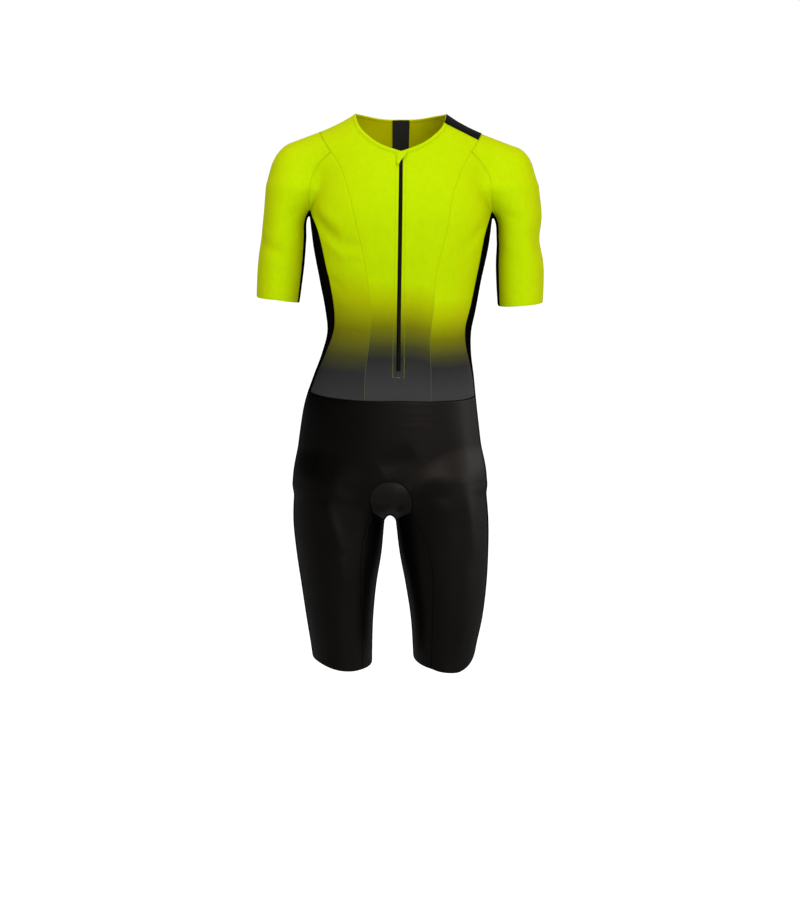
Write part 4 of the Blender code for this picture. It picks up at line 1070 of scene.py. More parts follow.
# Lines of the shorts from the waist to a hem. The middle knots are level with the top and the
# widest part of the gusset.
ABOVE_GUSSET, BESIDE_GUSSET, LEG_ROWS = 6, 5, 11
GUSSET_END, GUSSET_EDGE = 2, 3
LEG_LINES_RIGHT = {
    "centre_front": (Pin(-5, -104, -488), Pin(-9, -104, -560), Pin(-14, -102, -629, ABOVE_GUSSET)),
    "centre_back": (Pin(-22, 90, -485), Pin(-24, 108, -560), Pin(-23, 119, -632, ABOVE_GUSSET)),
    "mid_front": (Pin(-92, -92, -487), Pin(-102, -96, -545), Pin(-109, -97, -598, ABOVE_GUSSET),
                  Pin(-116, -94, -705, BESIDE_GUSSET), Pin(-117, -89, -785), Pin(-114, -80, -870),
                  Pin(-108, -75, -974, LEG_ROWS)),
    "mid_back": (Pin(-78, 85, -484), Pin(-91, 100, -545), Pin(-99, 111, -600, ABOVE_GUSSET),
                 Pin(-110, 109, -705, BESIDE_GUSSET), Pin(-114, 97, -785), Pin(-113, 82, -870),
                 Pin(-107, 65, -970, LEG_ROWS)),
    "side": (Pin(-161, 10, -481), Pin(-178, 12, -540), Pin(-185, 12, -594, ABOVE_GUSSET),
             Pin(-192, 12, -705, BESIDE_GUSSET), Pin(-186, 10, -785), Pin(-173, 7, -870),
             Pin(-159, 4, -961, LEG_ROWS)),
    "inner_front": (Pin(-50, -70, -689), Pin(-59, -72, -709), Pin(-68, -76, -748),
                    Pin(-70, -67, -830), Pin(-68, -56, -900), Pin(-69, -55, -976, LEG_ROWS)),
    "inner_back": (Pin(-54, 90, -684), Pin(-65, 88, -714), Pin(-69, 80, -750),
                   Pin(-69, 68, -830), Pin(-69, 52, -900), Pin(-70, 46, -975, LEG_ROWS)),
}
LEG_LINES_LEFT = {
    "mid_front": (Pin(68, -91, -490), Pin(68, -96, -545), Pin(72, -97, -598, ABOVE_GUSSET),
                  Pin(80, -94, -705, BESIDE_GUSSET), Pin(84, -89, -785), Pin(85, -80, -870),
                  Pin(82, -75, -978, LEG_ROWS)),
    "mid_back": (Pin(42, 85, -486), Pin(49, 100, -545), Pin(54, 111, -600, ABOVE_GUSSET),
                 Pin(68, 109, -705, BESIDE_GUSSET), Pin(78, 97, -785), Pin(82, 82, -870),
                 Pin(78, 67, -961, LEG_ROWS)),
    "side": (Pin(130, 10, -490), Pin(137, 12, -545), Pin(143, 12, -598, ABOVE_GUSSET),
             Pin(152, 12, -705, BESIDE_GUSSET), Pin(156, 10, -785), Pin(150, 7, -870),
             Pin(134, 4, -950, LEG_ROWS)),
    "inner_front": (Pin(17, -75, -689), Pin(27, -78, -704), Pin(41, -84, -730),
                    Pin(53, -85, -775), Pin(55, -73, -895), Pin(54, -68, -972, LEG_ROWS)),
    "inner_back": (Pin(14, 90, -684), Pin(26, 88, -714), Pin(33, 80, -750),
                   Pin(40, 71, -830), Pin(42, 56, -900), Pin(42, 48, -966, LEG_ROWS)),
}

# Each hem is a ring from the front seam of the inner thigh round the outside and back.
HEM_RIGHT = (
    Pin(-69, -55, -976),
    Pin(-88, -71, -976),
    Pin(-108, -75, -974, 4),
    Pin(-142, -54, -965),
    Pin(-159, 4, -961, 4),
    Pin(-142, 47, -964),
    Pin(-107, 65, -970, 4),
    Pin(-87, 62, -973),
    Pin(-70, 46, -975, 4),
    Pin(-54, -4, -975),
    Pin(-69, -55, -976, 8),
)
HEM_LEFT = (
    Pin(54, -68, -972),
    Pin(68, -74, -976),
    Pin(82, -75, -978, 4),
    Pin(102, -66, -979),
    Pin(119, -50, -973),
    Pin(134, 4, -950, 4),
    Pin(117, 47, -953),
    Pin(78, 67, -961, 4),
    Pin(59, 61, -964),
    Pin(42, 48, -966, 4),
    Pin(24, -8, -964),
    Pin(54, -68, -972, 8),
)
HEM_BAND = 32
BETWEEN_LEGS = -11     # where the hem of one leg ends and the other begins

# The gusset's edges: its two ends on the shorts, and its sides under the crotch.
UNDER_CELLS = 8
GUSSET_RIGHT = (
    Pin(-14, -102, -629),
    Pin(-32, -101, -630.5),
    Pin(-47, -100, -640, GUSSET_END),
    Pin(-55, -95, -659),
    Pin(-53, -84, -676),
    Pin(-50, -70, -689, GUSSET_EDGE),
)
GUSSET_LEFT = (
    Pin(-14, -102, -629),
    Pin(0, -101, -633),
    Pin(12, -99, -646, GUSSET_END),
    Pin(19, -94, -661),
    Pin(20, -85, -675),
    Pin(17, -75, -689, GUSSET_EDGE),
)
UNDER_RIGHT = (
    Pin(-50, -70, -689),
    Pin(-43, -59, -696),
    Pin(-33, -28, -709),
    Pin(-31, 25, -717),
    Pin(-43, 60, -704),
    Pin(-54, 90, -684, UNDER_CELLS),
)
UNDER_LEFT = (
    Pin(17, -75, -689),
    Pin(6, -60, -696),
    Pin(-6, -27, -709),
    Pin(-8, 25, -717),
    Pin(3, 60, -704),
    Pin(14, 90, -684, UNDER_CELLS),
)
GUSSET_BACK_RIGHT = (
    Pin(-23, 119, -632),
    Pin(-40, 118, -636),
    Pin(-50, 116, -646, GUSSET_END),
    Pin(-58, 108, -668),
    Pin(-54, 90, -684, GUSSET_EDGE),
)
GUSSET_BACK_LEFT = (
    Pin(-23, 119, -632),
    Pin(-4, 118, -636),
    Pin(8, 116, -646, GUSSET_END),
    Pin(18, 108, -668),
    Pin(14, 90, -684, GUSSET_EDGE),
)

# A heavier tricot of black polyamide and elastane, calendered flat. It is nearly black, with a warm
# soft shine that dies away where it turns from the eye. Its loops are drawn 1.4 mm wide, as on the
# yellow.
def calendered_tricot(name, dark, light, most_gloss):
    material, tree, output = new_material(name)
    relief = knit_relief(tree, 0.15)
    cloudy = add(tree, "TexNoise", {"Scale": 9.0, "Detail": 3.0})
    worn = add(tree, "ValToRGB", {"Fac": cloudy.outputs[0]})
    worn.color_ramp.elements[0].color = linear(dark)
    worn.color_ramp.elements[1].color = linear(light)
    shine = add(tree, "MapRange", {0: cloudy.outputs[0], 1: 0.3, 2: 0.7, 3: 0.40, 4: 0.46})
    facing = add(tree, "LayerWeight", {"Blend": 0.5})
    gloss = add(tree, "MapRange", {
        0: facing.outputs["Facing"], 1: 0.3, 2: 0.85, 3: most_gloss, 4: 0.0,
    })
    shader = add(tree, "BsdfPrincipled", {
        "Base Color": worn.outputs[0], "Roughness": shine.outputs[0], "IOR": 1.5,
        "Specular IOR Level": gloss.outputs[0], "Specular Tint": linear("#FFF0E4"),
        "Normal": relief.outputs[0],
    })
    tree.links.new(shader.outputs[0], output.inputs[0])
    return material


black_tricot = calendered_tricot("black_tricot_knit", "#020202", "#050404", 0.14)
# The same knit, paler: painted light on the gusset, which faces the lamps.
painted_lit_tricot = calendered_tricot("black_tricot_painted_lit", "#100F0D", "#151311", 0.14)

LEG_LINES = {"right": LEG_LINES_RIGHT, "left": LEG_LINES_LEFT}
HEMS = {"right": HEM_RIGHT, "left": HEM_LEFT}
gusset_front = {"right": seam(GUSSET_RIGHT), "left": seam(GUSSET_LEFT)}
gusset_under = {"right": seam(UNDER_RIGHT), "left": seam(UNDER_LEFT)}
gusset_back = {"right": seam(GUSSET_BACK_RIGHT), "left": seam(GUSSET_BACK_LEFT)}
shorts_centre_front = seam(LEG_LINES_RIGHT["centre_front"])
shorts_centre_back = seam(LEG_LINES_RIGHT["centre_back"])
# Runs of the shorts' waist: back centre to middle, middle to side, side to middle, middle to centre.
back_runs = {"right": shorts_waist[0:2], "left": [run[::-1] for run in shorts_waist[:5:-1]]}
front_runs = {"right": [run[::-1] for run in shorts_waist[3:1:-1]], "left": shorts_waist[4:6]}
leg_lines, hems, hem_ribs, shorts_front_grids = {}, {}, {}, []
for side in SIDES:
    centre_names = ("centre_front", "centre_back")
    line = {name: seam(pins) for name, pins in LEG_LINES[side].items() if name not in centre_names}
    hem = ring_parts(HEMS[side])
    leg_lines[side], hems[side], hem_ribs[side] = line, hem, ribbed(hem, HEM_BAND)
    inner_front = chain(shorts_centre_front, gusset_front[side], line["inner_front"])
    inner_back = chain(shorts_centre_back, gusset_back[side], line["inner_back"])
    shorts_front_grids += [
        panel(front_runs[side][0], hem[0], inner_front, line["mid_front"]),
        panel(front_runs[side][1], hem[1], line["mid_front"], line["side"]),
    ]
    shorts_back_grids = [
        panel(back_runs[side][0], hem[3][::-1], inner_back, line["mid_back"]),
        panel(back_runs[side][1], hem[2][::-1], line["mid_back"], line["side"]),
    ]
    piece = cloth("shorts_back_" + side + "_knit", shorts_back_grids, black_tricot,
                  tones={"rib": hem_ribs[side]})
    sewn_in(piece, "shorts_back_" + side)
    inner_grid = panel(gusset_under[side], hem[4][::-1], line["inner_front"], line["inner_back"])
    piece = cloth("inner_thigh_" + side + "_knit", [inner_grid], black_tricot,
                  tones={"rib": hem_ribs[side]})
    sewn_in(piece, "inner_thigh_" + side)


def ribs_of_both(points):
    return np.where(points[:, 0] < BETWEEN_LEGS, hem_ribs["right"](points), hem_ribs["left"](points))


shorts_front = cloth("shorts_front_knit", shorts_front_grids, black_tricot, tones={"rib": ribs_of_both})
sewn_in(shorts_front, "shorts_front")


# ==== Gusset ====
# An oval of black tricot between the legs, from the front over the crotch to the seat. A thin seat
# pad is sewn behind it, so it stands a little proud in the middle.

PAD_RISE = 1.6


def gusset_edge(side):
    """The gusset's edge on one side, from its front corner between the legs to its back corner."""
    front_edge, back_edge = gusset_front[side][GUSSET_POINTS:], gusset_back[side][GUSSET_POINTS:]
    return chain(front_edge, gusset_under[side], back_edge[::-1])


GUSSET_POINTS = GUSSET_END * FINE
ends = chain(gusset_front["right"][GUSSET_POINTS::-1], gusset_front["left"][:GUSSET_POINTS + 1])
back_ends = chain(gusset_back["right"][GUSSET_POINTS::-1], gusset_back["left"][:GUSSET_POINTS + 1])
gusset_grid = panel(ends, back_ends, gusset_edge("right"), gusset_edge("left"))
down, across = (1 - np.linspace(-1, 1, count) ** 4 for count in gusset_grid.shape[:2])
gusset = cloth("gusset_knit", [lifted(gusset_grid, PAD_RISE * np.outer(down, across))], painted_lit_tricot)
sewn_in(gusset, "gusset")


# ==== Neck binding ====
# A strip of yellow tricot folded over the raw edge of the neck and sewn down, 6.5 mm wide and
# rounded at the top.

BINDING, BINDING_WIDTH = 2.4, 6.5

neck_seam = chain(neck_front["right"][::-1], neck_back["right"], neck_back["left"][::-1],
                  neck_front["left"])
NECK_CENTRE = len(neck_front["right"]) + len(neck_back["right"]) - 2


def above_neck(distance):
    """The neck's seam moved up over the form by a distance."""
    along = np.gradient(neck_seam, axis=0)
    up = np.cross(along, outward(neck_seam))
    up /= np.linalg.norm(up, axis=1, keepdims=True)
    up *= np.sign(up @ (0, 0, 1))[:, None]
    return fitted(neck_seam + up * distance)


BINDING_ROWS = (1, 0.85, 0.6, 0.3, 0.1)
binding_grid = np.stack([above_neck(share * BINDING_WIDTH) for share in BINDING_ROWS] + [neck_seam])
neck_binding = cloth("neck_binding_fold", [binding_grid], yellow_tricot, BINDING, rolled=0.55)
sewn_in(neck_binding, "neck_binding")


# ==== Tape inside the neck ====
# A woven black ribbon down the inside of the back neck, from the top of the binding, sewn in at its
# sides. It is left bare.

TRIM, TRIM_ROLLED = 1.0, 0.3
NECK_TAPE_HALF, NECK_TAPE_ROWS, NECK_TAPE_COLUMNS = 15.5, 5, 11
RIBBON_PITCH = 0.0012

# A plain-woven polyester ribbon. Its threads are drawn 1.2 mm apart, as finer ones wouldn't show, so
# its flat black has a fine crosswise grain.
def woven_ribbon(name, weft, warp):
    material, tree, output = new_material(name)
    cut_place = add(tree, "UVMap", uv_map="cut")
    threads = add(tree, "VectorMath", {0: cut_place.outputs[0], 1: [1 / RIBBON_PITCH] * 3},
                  operation="MULTIPLY")
    weave = add(tree, "TexChecker", {"Vector": threads.outputs[0], "Scale": 1.0})
    relief = add(tree, "Bump", {"Strength": 0.5, "Distance": 0.00015, "Height": weave.outputs["Fac"]})
    weave_colour = add(tree, "ValToRGB", {"Fac": weave.outputs["Fac"]})
    weave_colour.color_ramp.elements[0].color = linear(weft)
    weave_colour.color_ramp.elements[1].color = linear(warp)
    shader = add(tree, "BsdfPrincipled", {
        "Base Color": weave_colour.outputs[0], "Roughness": 0.75, "IOR": 1.5,
        "Specular IOR Level": 0.05, "Normal": relief.outputs[0],
    })
    tree.links.new(shader.outputs[0], output.inputs[0])
    return material


neck_ribbon = woven_ribbon("black_neck_ribbon", "#303030", "#3C3C3D")


def at_distances(row, centre, distances):
    """Points on a row of a grid, at distances from one of its points along it."""
    run = run_along(row)
    return read_off(row, run, run[centre] + np.array(distances))


BEHIND_BINDING = [0, 2, 4, 5]    # rows of the binding that the tape has too
back_rows = np.concatenate([back_halves["right"][:, ::-1], back_halves["left"][:, 1:]], axis=1)
tape_across = np.linspace(-NECK_TAPE_HALF, NECK_TAPE_HALF, NECK_TAPE_COLUMNS)
tape_rows = [at_distances(row, NECK_CENTRE, tape_across) for row in binding_grid[BEHIND_BINDING]]
back_centre = back_halves["right"].shape[1] - 1
tape_rows += [
    at_distances(row, back_centre, tape_across)
    for row in back_rows[1:(NECK_TAPE_ROWS - 1) * FINE + 1]
]
neck_tape = cloth("neck_tape_ribbon", [np.array(tape_rows)], neck_ribbon, TRIM,
                  -(BINDING / 2 + SEAM_GAP + TRIM / 2), rolled=TRIM_ROLLED)
sewn_in(neck_tape, "neck_tape")


# ==== Shoulder band ====
# A bare black strip of smooth tricot, bonded along the top of the left shoulder from the neck to the
# sleeve.

# The same tricot as the shorts', with less shine.
band_tricot = calendered_tricot("black_band_knit", "#020202", "#050404", 0.05)

over_cloth, over_binding = (wall / 2 + SEAM_GAP + TRIM / 2 for wall in (CLOTH, BINDING))
left_shoulder = NECK_CENTRE + len(neck_back["left"]) - 1
band_end = binding_grid[:-1, left_shoulder:left_shoulder + BAND_CELLS * FINE + 1]
band = np.concatenate([band_end.transpose(1, 0, 2), front_top["left"]], axis=1)
past_binding = np.clip((np.arange(band.shape[1]) - len(band_end)) / FINE, 0, 1)
raised_band = lifted(band, over_binding + past_binding * (over_cloth - over_binding))
shoulder_band = cloth("shoulder_band_strip", [raised_band], band_tricot, TRIM, rolled=TRIM_ROLLED)
sewn_in(shoulder_band, "shoulder_band")


# ==== Zip: tapes ====
# Two woven black tapes behind the slot, sewn to its edges, which carry the zip's coil. They meet in
# the middle and end a little below the slot.

ZIP_SLOT_HALF, ZIP_TAPE_WIDTH, ZIP_TAPE_COLUMNS = 3.3, 12, 6
TAPE_END = 3           # rows by which a tape is longer than the slot
# A ribbon as in the neck, but of a deeper black.
zip_ribbon = woven_ribbon("black_zip_ribbon", "#050505", "#0A0A0A")
zip_rows = {side: front[side][:SLOT_ROWS + TAPE_END + 1] for side in SIDES}
zip_centre = (zip_rows["right"][:, 0] + zip_rows["left"][:, 0]) / 2
behind_cloth = -(CLOTH / 2 + SEAM_GAP + TRIM / 2)
beside_slot = np.linspace(0, ZIP_TAPE_WIDTH - ZIP_SLOT_HALF, ZIP_TAPE_COLUMNS)
for side in SIDES:
    tape = [
        [centre, (centre + row[0]) / 2, *at_distances(row, 0, beside_slot)]
        for centre, row in zip(zip_centre, zip_rows[side])
    ]
    piece = cloth("zip_tape_" + side + "_ribbon", [np.array(tape)], zip_ribbon, TRIM, behind_cloth,
                  rolled=TRIM_ROLLED)
    sewn_in(piece, "zip_tape_" + side)


# ==== Zip: coil ====
# Two coils of nylon filament, one on each tape, whose turns hook into each other every 1.5 mm. Only
# the front of each turn is made.

TEETH_HALF, TEETH, TOOTH_PITCH, TOOTH_RADIUS = 2.3, 1.8, 1.5, 0.42
teeth_raised = behind_cloth + TRIM / 2 + SEAM_GAP + TEETH / 2

# Extruded nylon filament, heat-set into a coil. It is smooth, so each turn has a small highlight.
black_nylon, tree, output = new_material("black_nylon_filament")
dusty = add(tree, "TexNoise", {"Scale": 900.0, "Detail": 2.0})
wear = add(tree, "MapRange", {0: dusty.outputs[0], 3: 0.28, 4: 0.42})
tint = add(tree, "ValToRGB", {"Fac": dusty.outputs[0]})
tint.color_ramp.elements[0].color = linear("#030303")
tint.color_ramp.elements[1].color = linear("#070707")
shader = add(tree, "BsdfPrincipled", {
    "Base Color": tint.outputs[0], "Roughness": wear.outputs[0], "IOR": 1.53, "Specular IOR Level": 0.2,
})
tree.links.new(shader.outputs[0], output.inputs[0])


def tubes(name, paths, radius, material, sides=6):
    """Round strands along paths of points near the form, with closed ends, as one piece."""
    turns = np.arange(sides) * 2 * np.pi / sides
    points, faces = [], []
    for path in paths:
        out = outward(path)
        ahead = np.gradient(path, axis=0)
        aside = np.cross(ahead, out)
        aside /= np.linalg.norm(aside, axis=1, keepdims=True)
        out = np.cross(aside, ahead)
        out /= np.linalg.norm(out, axis=1, keepdims=True)
        begin = sum(map(len, points))
        ring = out[:, None] * np.cos(turns)[None, :, None] + aside[:, None] * np.sin(turns)[None, :, None]
        points.append((path[:, None] + ring * radius).reshape(-1, 3))
        count = len(path)
        at = begin + np.arange(count * sides).reshape(count, sides)
        beside = np.roll(at, -1, axis=1)
        faces += np.stack([at[:-1], beside[:-1], beside[1:], at[1:]], -1).reshape(-1, 4).tolist()
        faces += [at[0, ::-1].tolist(), at[-1].tolist()]
    mesh = bpy.data.meshes.new(name)
    mesh.from_pydata((np.concatenate(points) * MM).tolist(), [], faces)
    mesh.shade_smooth()
    mesh.materials.append(material)
    piece = bpy.data.objects.new(name, mesh)
    bpy.context.scene.collection.objects.link(piece)
    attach(piece, "root")
    return piece


def evenly(line, pitch):
    """Points along a line, a pitch apart."""
    run = run_along(line)
    steps = max(int(round(run[-1] / pitch)), 1)
    return read_off(line, run, np.linspace(0, run[-1], steps + 1))


tooth_places = evenly(zip_centre[:SLOT_ROWS + 1], TOOTH_PITCH / 2)
tooth_out = outward(tooth_places)
# A turn of the coil rises from its tape, crosses the middle and hooks down on the far side.
TURN = np.array([(TEETH_HALF, -0.42), (1.7, 0.2), (0.7, 0.46), (-0.3, 0.34), (-0.6, -0.2)])
teeth_paths = []
for number in range(2, len(tooth_places) - 1):
    hand = 1 if number % 2 else -1
    place, out = tooth_places[number], tooth_out[number]
    across = np.array([hand, 0.0, 0.0])
    teeth_paths.append(place + TURN[:, :1] * across + (teeth_raised + TURN[:, 1:]) * out)
zip_teeth = tubes("zip_coil", teeth_paths, TOOTH_RADIUS, black_nylon)
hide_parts("zip_teeth")


# ==== Zip: slider ====
# A small cast zinc slider at the closed top of the zip, enamelled black. It lies under the flap, so
# it is one plain plate that narrows downward.

SliderRow = namedtuple("SliderRow", "z half_width")
SLIDER_Y = -84
SLIDER = (
    SliderRow(-70.5, 2.4),
    SliderRow(-72.0, 3.2),
    SliderRow(-76.0, 3.2),
    SliderRow(-79.5, 2.2),
)
SLIDER_THICK, SLIDER_ROWS, SLIDER_COLUMNS = 2.4, 10, 7

# Black stoving enamel on cast zinc: a hard smooth skin with a satin gloss.
black_enamel, tree, output = new_material("black_enamelled_zinc")
pitted = add(tree, "TexNoise", {"Scale": 700.0, "Detail": 2.0})
relief = add(tree, "Bump", {"Strength": 0.2, "Distance": 0.00005, "Height": pitted.outputs[0]})
wear = add(tree, "MapRange", {0: pitted.outputs[0], 3: 0.22, 4: 0.36})
shader = add(tree, "BsdfPrincipled", {
    "Base Color": linear("#121213"), "Roughness": wear.outputs[0], "IOR": 1.52, "Coat Weight": 0.3,
    "Coat Roughness": 0.15, "Normal": relief.outputs[0],
})
tree.links.new(shader.outputs[0], output.inputs[0])

slider_raised = teeth_raised + TEETH / 2 + SEAM_GAP + SLIDER_THICK / 2
slider_rows = np.array(SLIDER)
slider_z = np.linspace(SLIDER[0].z, SLIDER[-1].z, SLIDER_ROWS)
slider_half = np.interp(-slider_z, -slider_rows[:, 0], slider_rows[:, 1])
slider_grid = fitted(np.array([
    [(x * half, SLIDER_Y, z) for x in np.linspace(-1, 1, SLIDER_COLUMNS)]
    for z, half in zip(slider_z, slider_half)
]))
zip_slider = cloth("zip_slider_body", [slider_grid], black_enamel, SLIDER_THICK, slider_raised, rolled=0.8)
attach(zip_slider, "root")
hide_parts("zip_slider")


# ==== Zip: garage ====
# A small flap of yellow tricot over the top of the zip, so that the slider doesn't rub the throat. It
# is sewn down on the right, and its free edge slants down across the coil from the left.

GARAGE_TOP = (Pin(-10, -75, -64.5), Pin(1, -75, -65.5), Pin(12, -75, -63, 4))
GARAGE_BOTTOM = (Pin(-9, -88, -85.5), Pin(-3, -88, -86, 4))
GARAGE_SEWN = (Pin(-10, -75, -64.5), Pin(-9.5, -82, -76), Pin(-9, -88, -85.5, 3))
GARAGE_FREE = (Pin(12, -75, -63), Pin(7, -82, -72), Pin(1.5, -82, -78.5), Pin(-3, -88, -86, 3))
GARAGE_STEP = 1.5      # cells of the flap in which it rises over the slider
GARAGE_ON_BINDING, GARAGE_ON_CLOTH = 3, 8    # its last row on the binding, and its first past it
LAID_ON_BINDING, LAID_ON_CLOTH = 0.6, 0.45   # its middle over what it is sewn to

garage_grid = panel(seam(GARAGE_TOP), seam(GARAGE_BOTTOM), seam(GARAGE_SEWN), seam(GARAGE_FREE))
garage_high = slider_raised + SLIDER_THICK / 2 + SEAM_GAP + TRIM / 2
rise = np.clip(np.arange(garage_grid.shape[1]) / (GARAGE_STEP * FINE), 0, 1)
rise = rise * rise * (3 - 2 * rise)
# Its sewn edge steps down from the binding to the cloth.
garage_low = np.interp(
    np.arange(len(garage_grid)), (GARAGE_ON_BINDING, GARAGE_ON_CLOTH),
    (BINDING / 2 + LAID_ON_BINDING, CLOTH / 2 + LAID_ON_CLOTH),
)[:, None]
raised_flap = lifted(garage_grid, garage_low + rise * (garage_high - garage_low))
zip_garage = cloth("zip_garage_flap", [raised_flap], yellow_tricot, TRIM, rolled=0.15)
sewn_in(zip_garage, "zip_garage")


# ==== Sewing on the yellow pieces ====
# Flat seams: a cord of thread lies in the furrow between two pieces, and at the shoulders and the
# armholes fine stitches cross it. The slot's edges are stitched down round the zip in a long box.

THREAD, STITCH, STITCH_HALF = 0.25, 2.2, 1.4
CORD, LINE_STEP = 0.45, 3.0
SUNK, LEVEL, PROUD = ROLLED - 0.15, ROLLED, ROLLED + 0.1    # how high a cord lies in its furrow
CROSSING, ON_CLOTH = CLOTH / 2 - 0.1, CLOTH / 2 + 0.1       # how high the stitches lie

# Twisted polyester sewing thread, with a dull shine. Its twist is drawn about 1.5 mm long, to show.
# Along the shoulders and the neck the thread is exactly the cloth's yellow, so it is given that.
def sewing_thread(name, dark, light):
    material, tree, output = new_material(name)
    place = add(tree, "TexCoord")
    twist = add(tree, "TexWave", {"Vector": place.outputs["Object"], "Scale": 400.0, "Distortion": 2.0},
                bands_direction="DIAGONAL")
    tint = add(tree, "ValToRGB", {"Fac": twist.outputs["Fac"]})
    tint.color_ramp.elements[0].color = linear(dark)
    tint.color_ramp.elements[1].color = linear(light)
    shader = add(tree, "BsdfPrincipled", {
        "Base Color": tint.outputs[0], "Roughness": 0.6, "IOR": 1.5, "Specular IOR Level": 0.05,
    })
    tree.links.new(shader.outputs[0], output.inputs[0])
    return material


olive_thread = sewing_thread("olive_polyester_thread", "#8A9404", "#9CA808")
yellow_thread = sewing_thread("yellow_polyester_thread", "#AAB802", "#B8C804")
black_thread = sewing_thread("black_polyester_thread", "#020202", "#050505")

# The same thread, dyed along with the cloth: yellow where the cloth is, and olive grey further down.
THREAD_STEPS = ((-0.30, "#B8D000"), (-0.345, "#A8AC16"), (-0.385, "#84842E"), (-0.42, "#5E5E4C"))
dyed_thread, tree, output = new_material("dyed_polyester_thread")
place = add(tree, "TexCoord")
height = add(tree, "SeparateXYZ", {0: place.outputs["Object"]})
lowest = THREAD_STEPS[-1][0]
ranged = add(tree, "MapRange", {0: height.outputs[2], 1: THREAD_STEPS[0][0], 2: lowest})
ramp = add(tree, "ValToRGB", {"Fac": ranged.outputs[0]})
steps = ramp.color_ramp.elements
while len(steps) < len(THREAD_STEPS):
    steps.new(0.5)
for step, (z, colour) in zip(steps, THREAD_STEPS):
    step.position = (z - THREAD_STEPS[0][0]) / (lowest - THREAD_STEPS[0][0])
    step.color = linear(colour)
shader = add(tree, "BsdfPrincipled", {
    "Base Color": ramp.outputs[0], "Roughness": 0.7, "IOR": 1.5, "Specular IOR Level": 0.05,
})
tree.links.new(shader.outputs[0], output.inputs[0])


def on_cloth(line, level):
    """A line on the form lifted to a level over the middle of the cloth, creases counted in."""
    return line + outward(line) * (level + crease_height(line))[:, None]


def furrow_cord(line, level=SUNK):
    """The cord of thread in the furrow along a seam."""
    return on_cloth(evenly(line, LINE_STEP), level)


def cross_stitches(line):
    """One thread that goes to and fro across a seam."""
    places = evenly(line, STITCH / 2)
    aside = np.cross(np.gradient(places, axis=0), outward(places))
    aside /= np.linalg.norm(aside, axis=1, keepdims=True)
    hand = np.where(np.arange(len(places)) % 2, 1.0, -1.0)[:, None]
    return on_cloth(fitted(places + aside * hand * STITCH_HALF, 2), CROSSING)


shoulder_seams = [shoulder["right"]]
armhole_seams, princess_seams = [], []
for side in SIDES:
    shoulder_seams += [sleeve_top_front[side], sleeve_top_back[side]]
    armhole_seams += [sleeve_front[side], sleeve_back[side]]
    princess_seams.append(princess[side])
tubes("shoulder_seam_threads", [furrow_cord(line, PROUD) for line in shoulder_seams], CORD,
      yellow_tricot)
tubes("armhole_seam_threads", [furrow_cord(line, LEVEL) for line in armhole_seams], CORD, olive_thread)
tubes("princess_seam_threads", [furrow_cord(line) for line in princess_seams], CORD, dyed_thread)
tubes("neck_seam_thread", [furrow_cord(neck_seam, LEVEL)], CORD, yellow_tricot)
yellow_seams = shoulder_seams + armhole_seams
tubes("cross_stitches_yellow", [cross_stitches(line) for line in yellow_seams], THREAD, yellow_tricot,
      sides=4)


# Each running stitch is a low arch of four points, and every fourth step is the gap to the next.
RUNNING_STITCH, STITCH_STEPS = 3.3, 4
STITCH_ARCH = np.array([-0.35, 0.1, 0.12, -0.35])[:, None]


def running_stitches(line, level):
    """Short stitches along a line, one after the other."""
    places = evenly(line, RUNNING_STITCH / STITCH_STEPS)
    out = outward(places)
    return [
        places[first:first + STITCH_STEPS] + out[first:first + STITCH_STEPS] * (level + STITCH_ARCH)
        for first in range(0, len(places) - STITCH_STEPS, STITCH_STEPS)
    ]


# The box round the zip, and the stitching along the neck binding.
BOX_HALF, BELOW_NECK_SEAM = 9.8, 1.8
box_sides = {}
for side in SIDES:
    rows = zip_rows[side]
    box_sides[side] = np.array([at_distances(row, 0, [BOX_HALF - ZIP_SLOT_HALF])[0] for row in rows])
box_end = evenly(fitted(np.array([box_sides["right"][-1], box_sides["left"][-1]])), LINE_STEP)
box_line = chain(box_sides["right"][2:], box_end, box_sides["left"][::-1][:-2])
tubes("zip_box_stitches", running_stitches(box_line, ON_CLOTH), THREAD, yellow_thread,
      sides=4)
tubes("binding_stitches", running_stitches(above_neck(-BELOW_NECK_SEAM), ON_CLOTH), THREAD,
      yellow_tricot, sides=4)


# ==== Sewing on the black pieces ====
# The same flat seams in black thread, round the side panels, the waist, the gusset and the legs.

black_seams = [
    side_front["right"], side_front["left"], side_back["right"], side_back["left"],
    shorts_centre_back, *body_waist,
]
for side in SIDES:
    line = leg_lines[side]
    black_seams += [
        arm_lines[side]["under_front"], arm_lines[side]["under_back"], armpit[side],
        chain(gusset_front[side], line["inner_front"]), chain(gusset_back[side], line["inner_back"]),
        gusset_under[side], line["side"],
    ]
tubes("furrow_threads_black", [furrow_cord(line) for line in black_seams], CORD, black_thread)
tubes("cross_stitches_black", [cross_stitches(line) for line in black_seams], THREAD, black_thread,
      sides=4)


# ==== Studio ====
# A pale matt floor with no wall behind it, even light from all round, and soft boxes at the suit's
# left, in front and above. The camera sees the floor and the sky lighter than the cloth does.

FLOOR_Z, FLOOR_RADIUS, FLOOR_CORNERS, FLOOR_GLOW = -1.145, 60.0, 64, 0.72

# Matt white paint on board.
white_paint, tree, output = new_material("white_floor_paint")
grain = add(tree, "TexNoise", {"Scale": 3.0, "Detail": 4.0})
tone = add(tree, "ValToRGB", {"Fac": grain.outputs[0]})
tone.color_ramp.elements[0].color = linear("#D2D2D2")
tone.color_ramp.elements[1].color = linear("#D6D6D6")
seen = add(tree, "LightPath")
lit_to_white = add(tree, "MapRange", {0: seen.outputs["Is Camera Ray"], 3: 0.0, 4: FLOOR_GLOW})
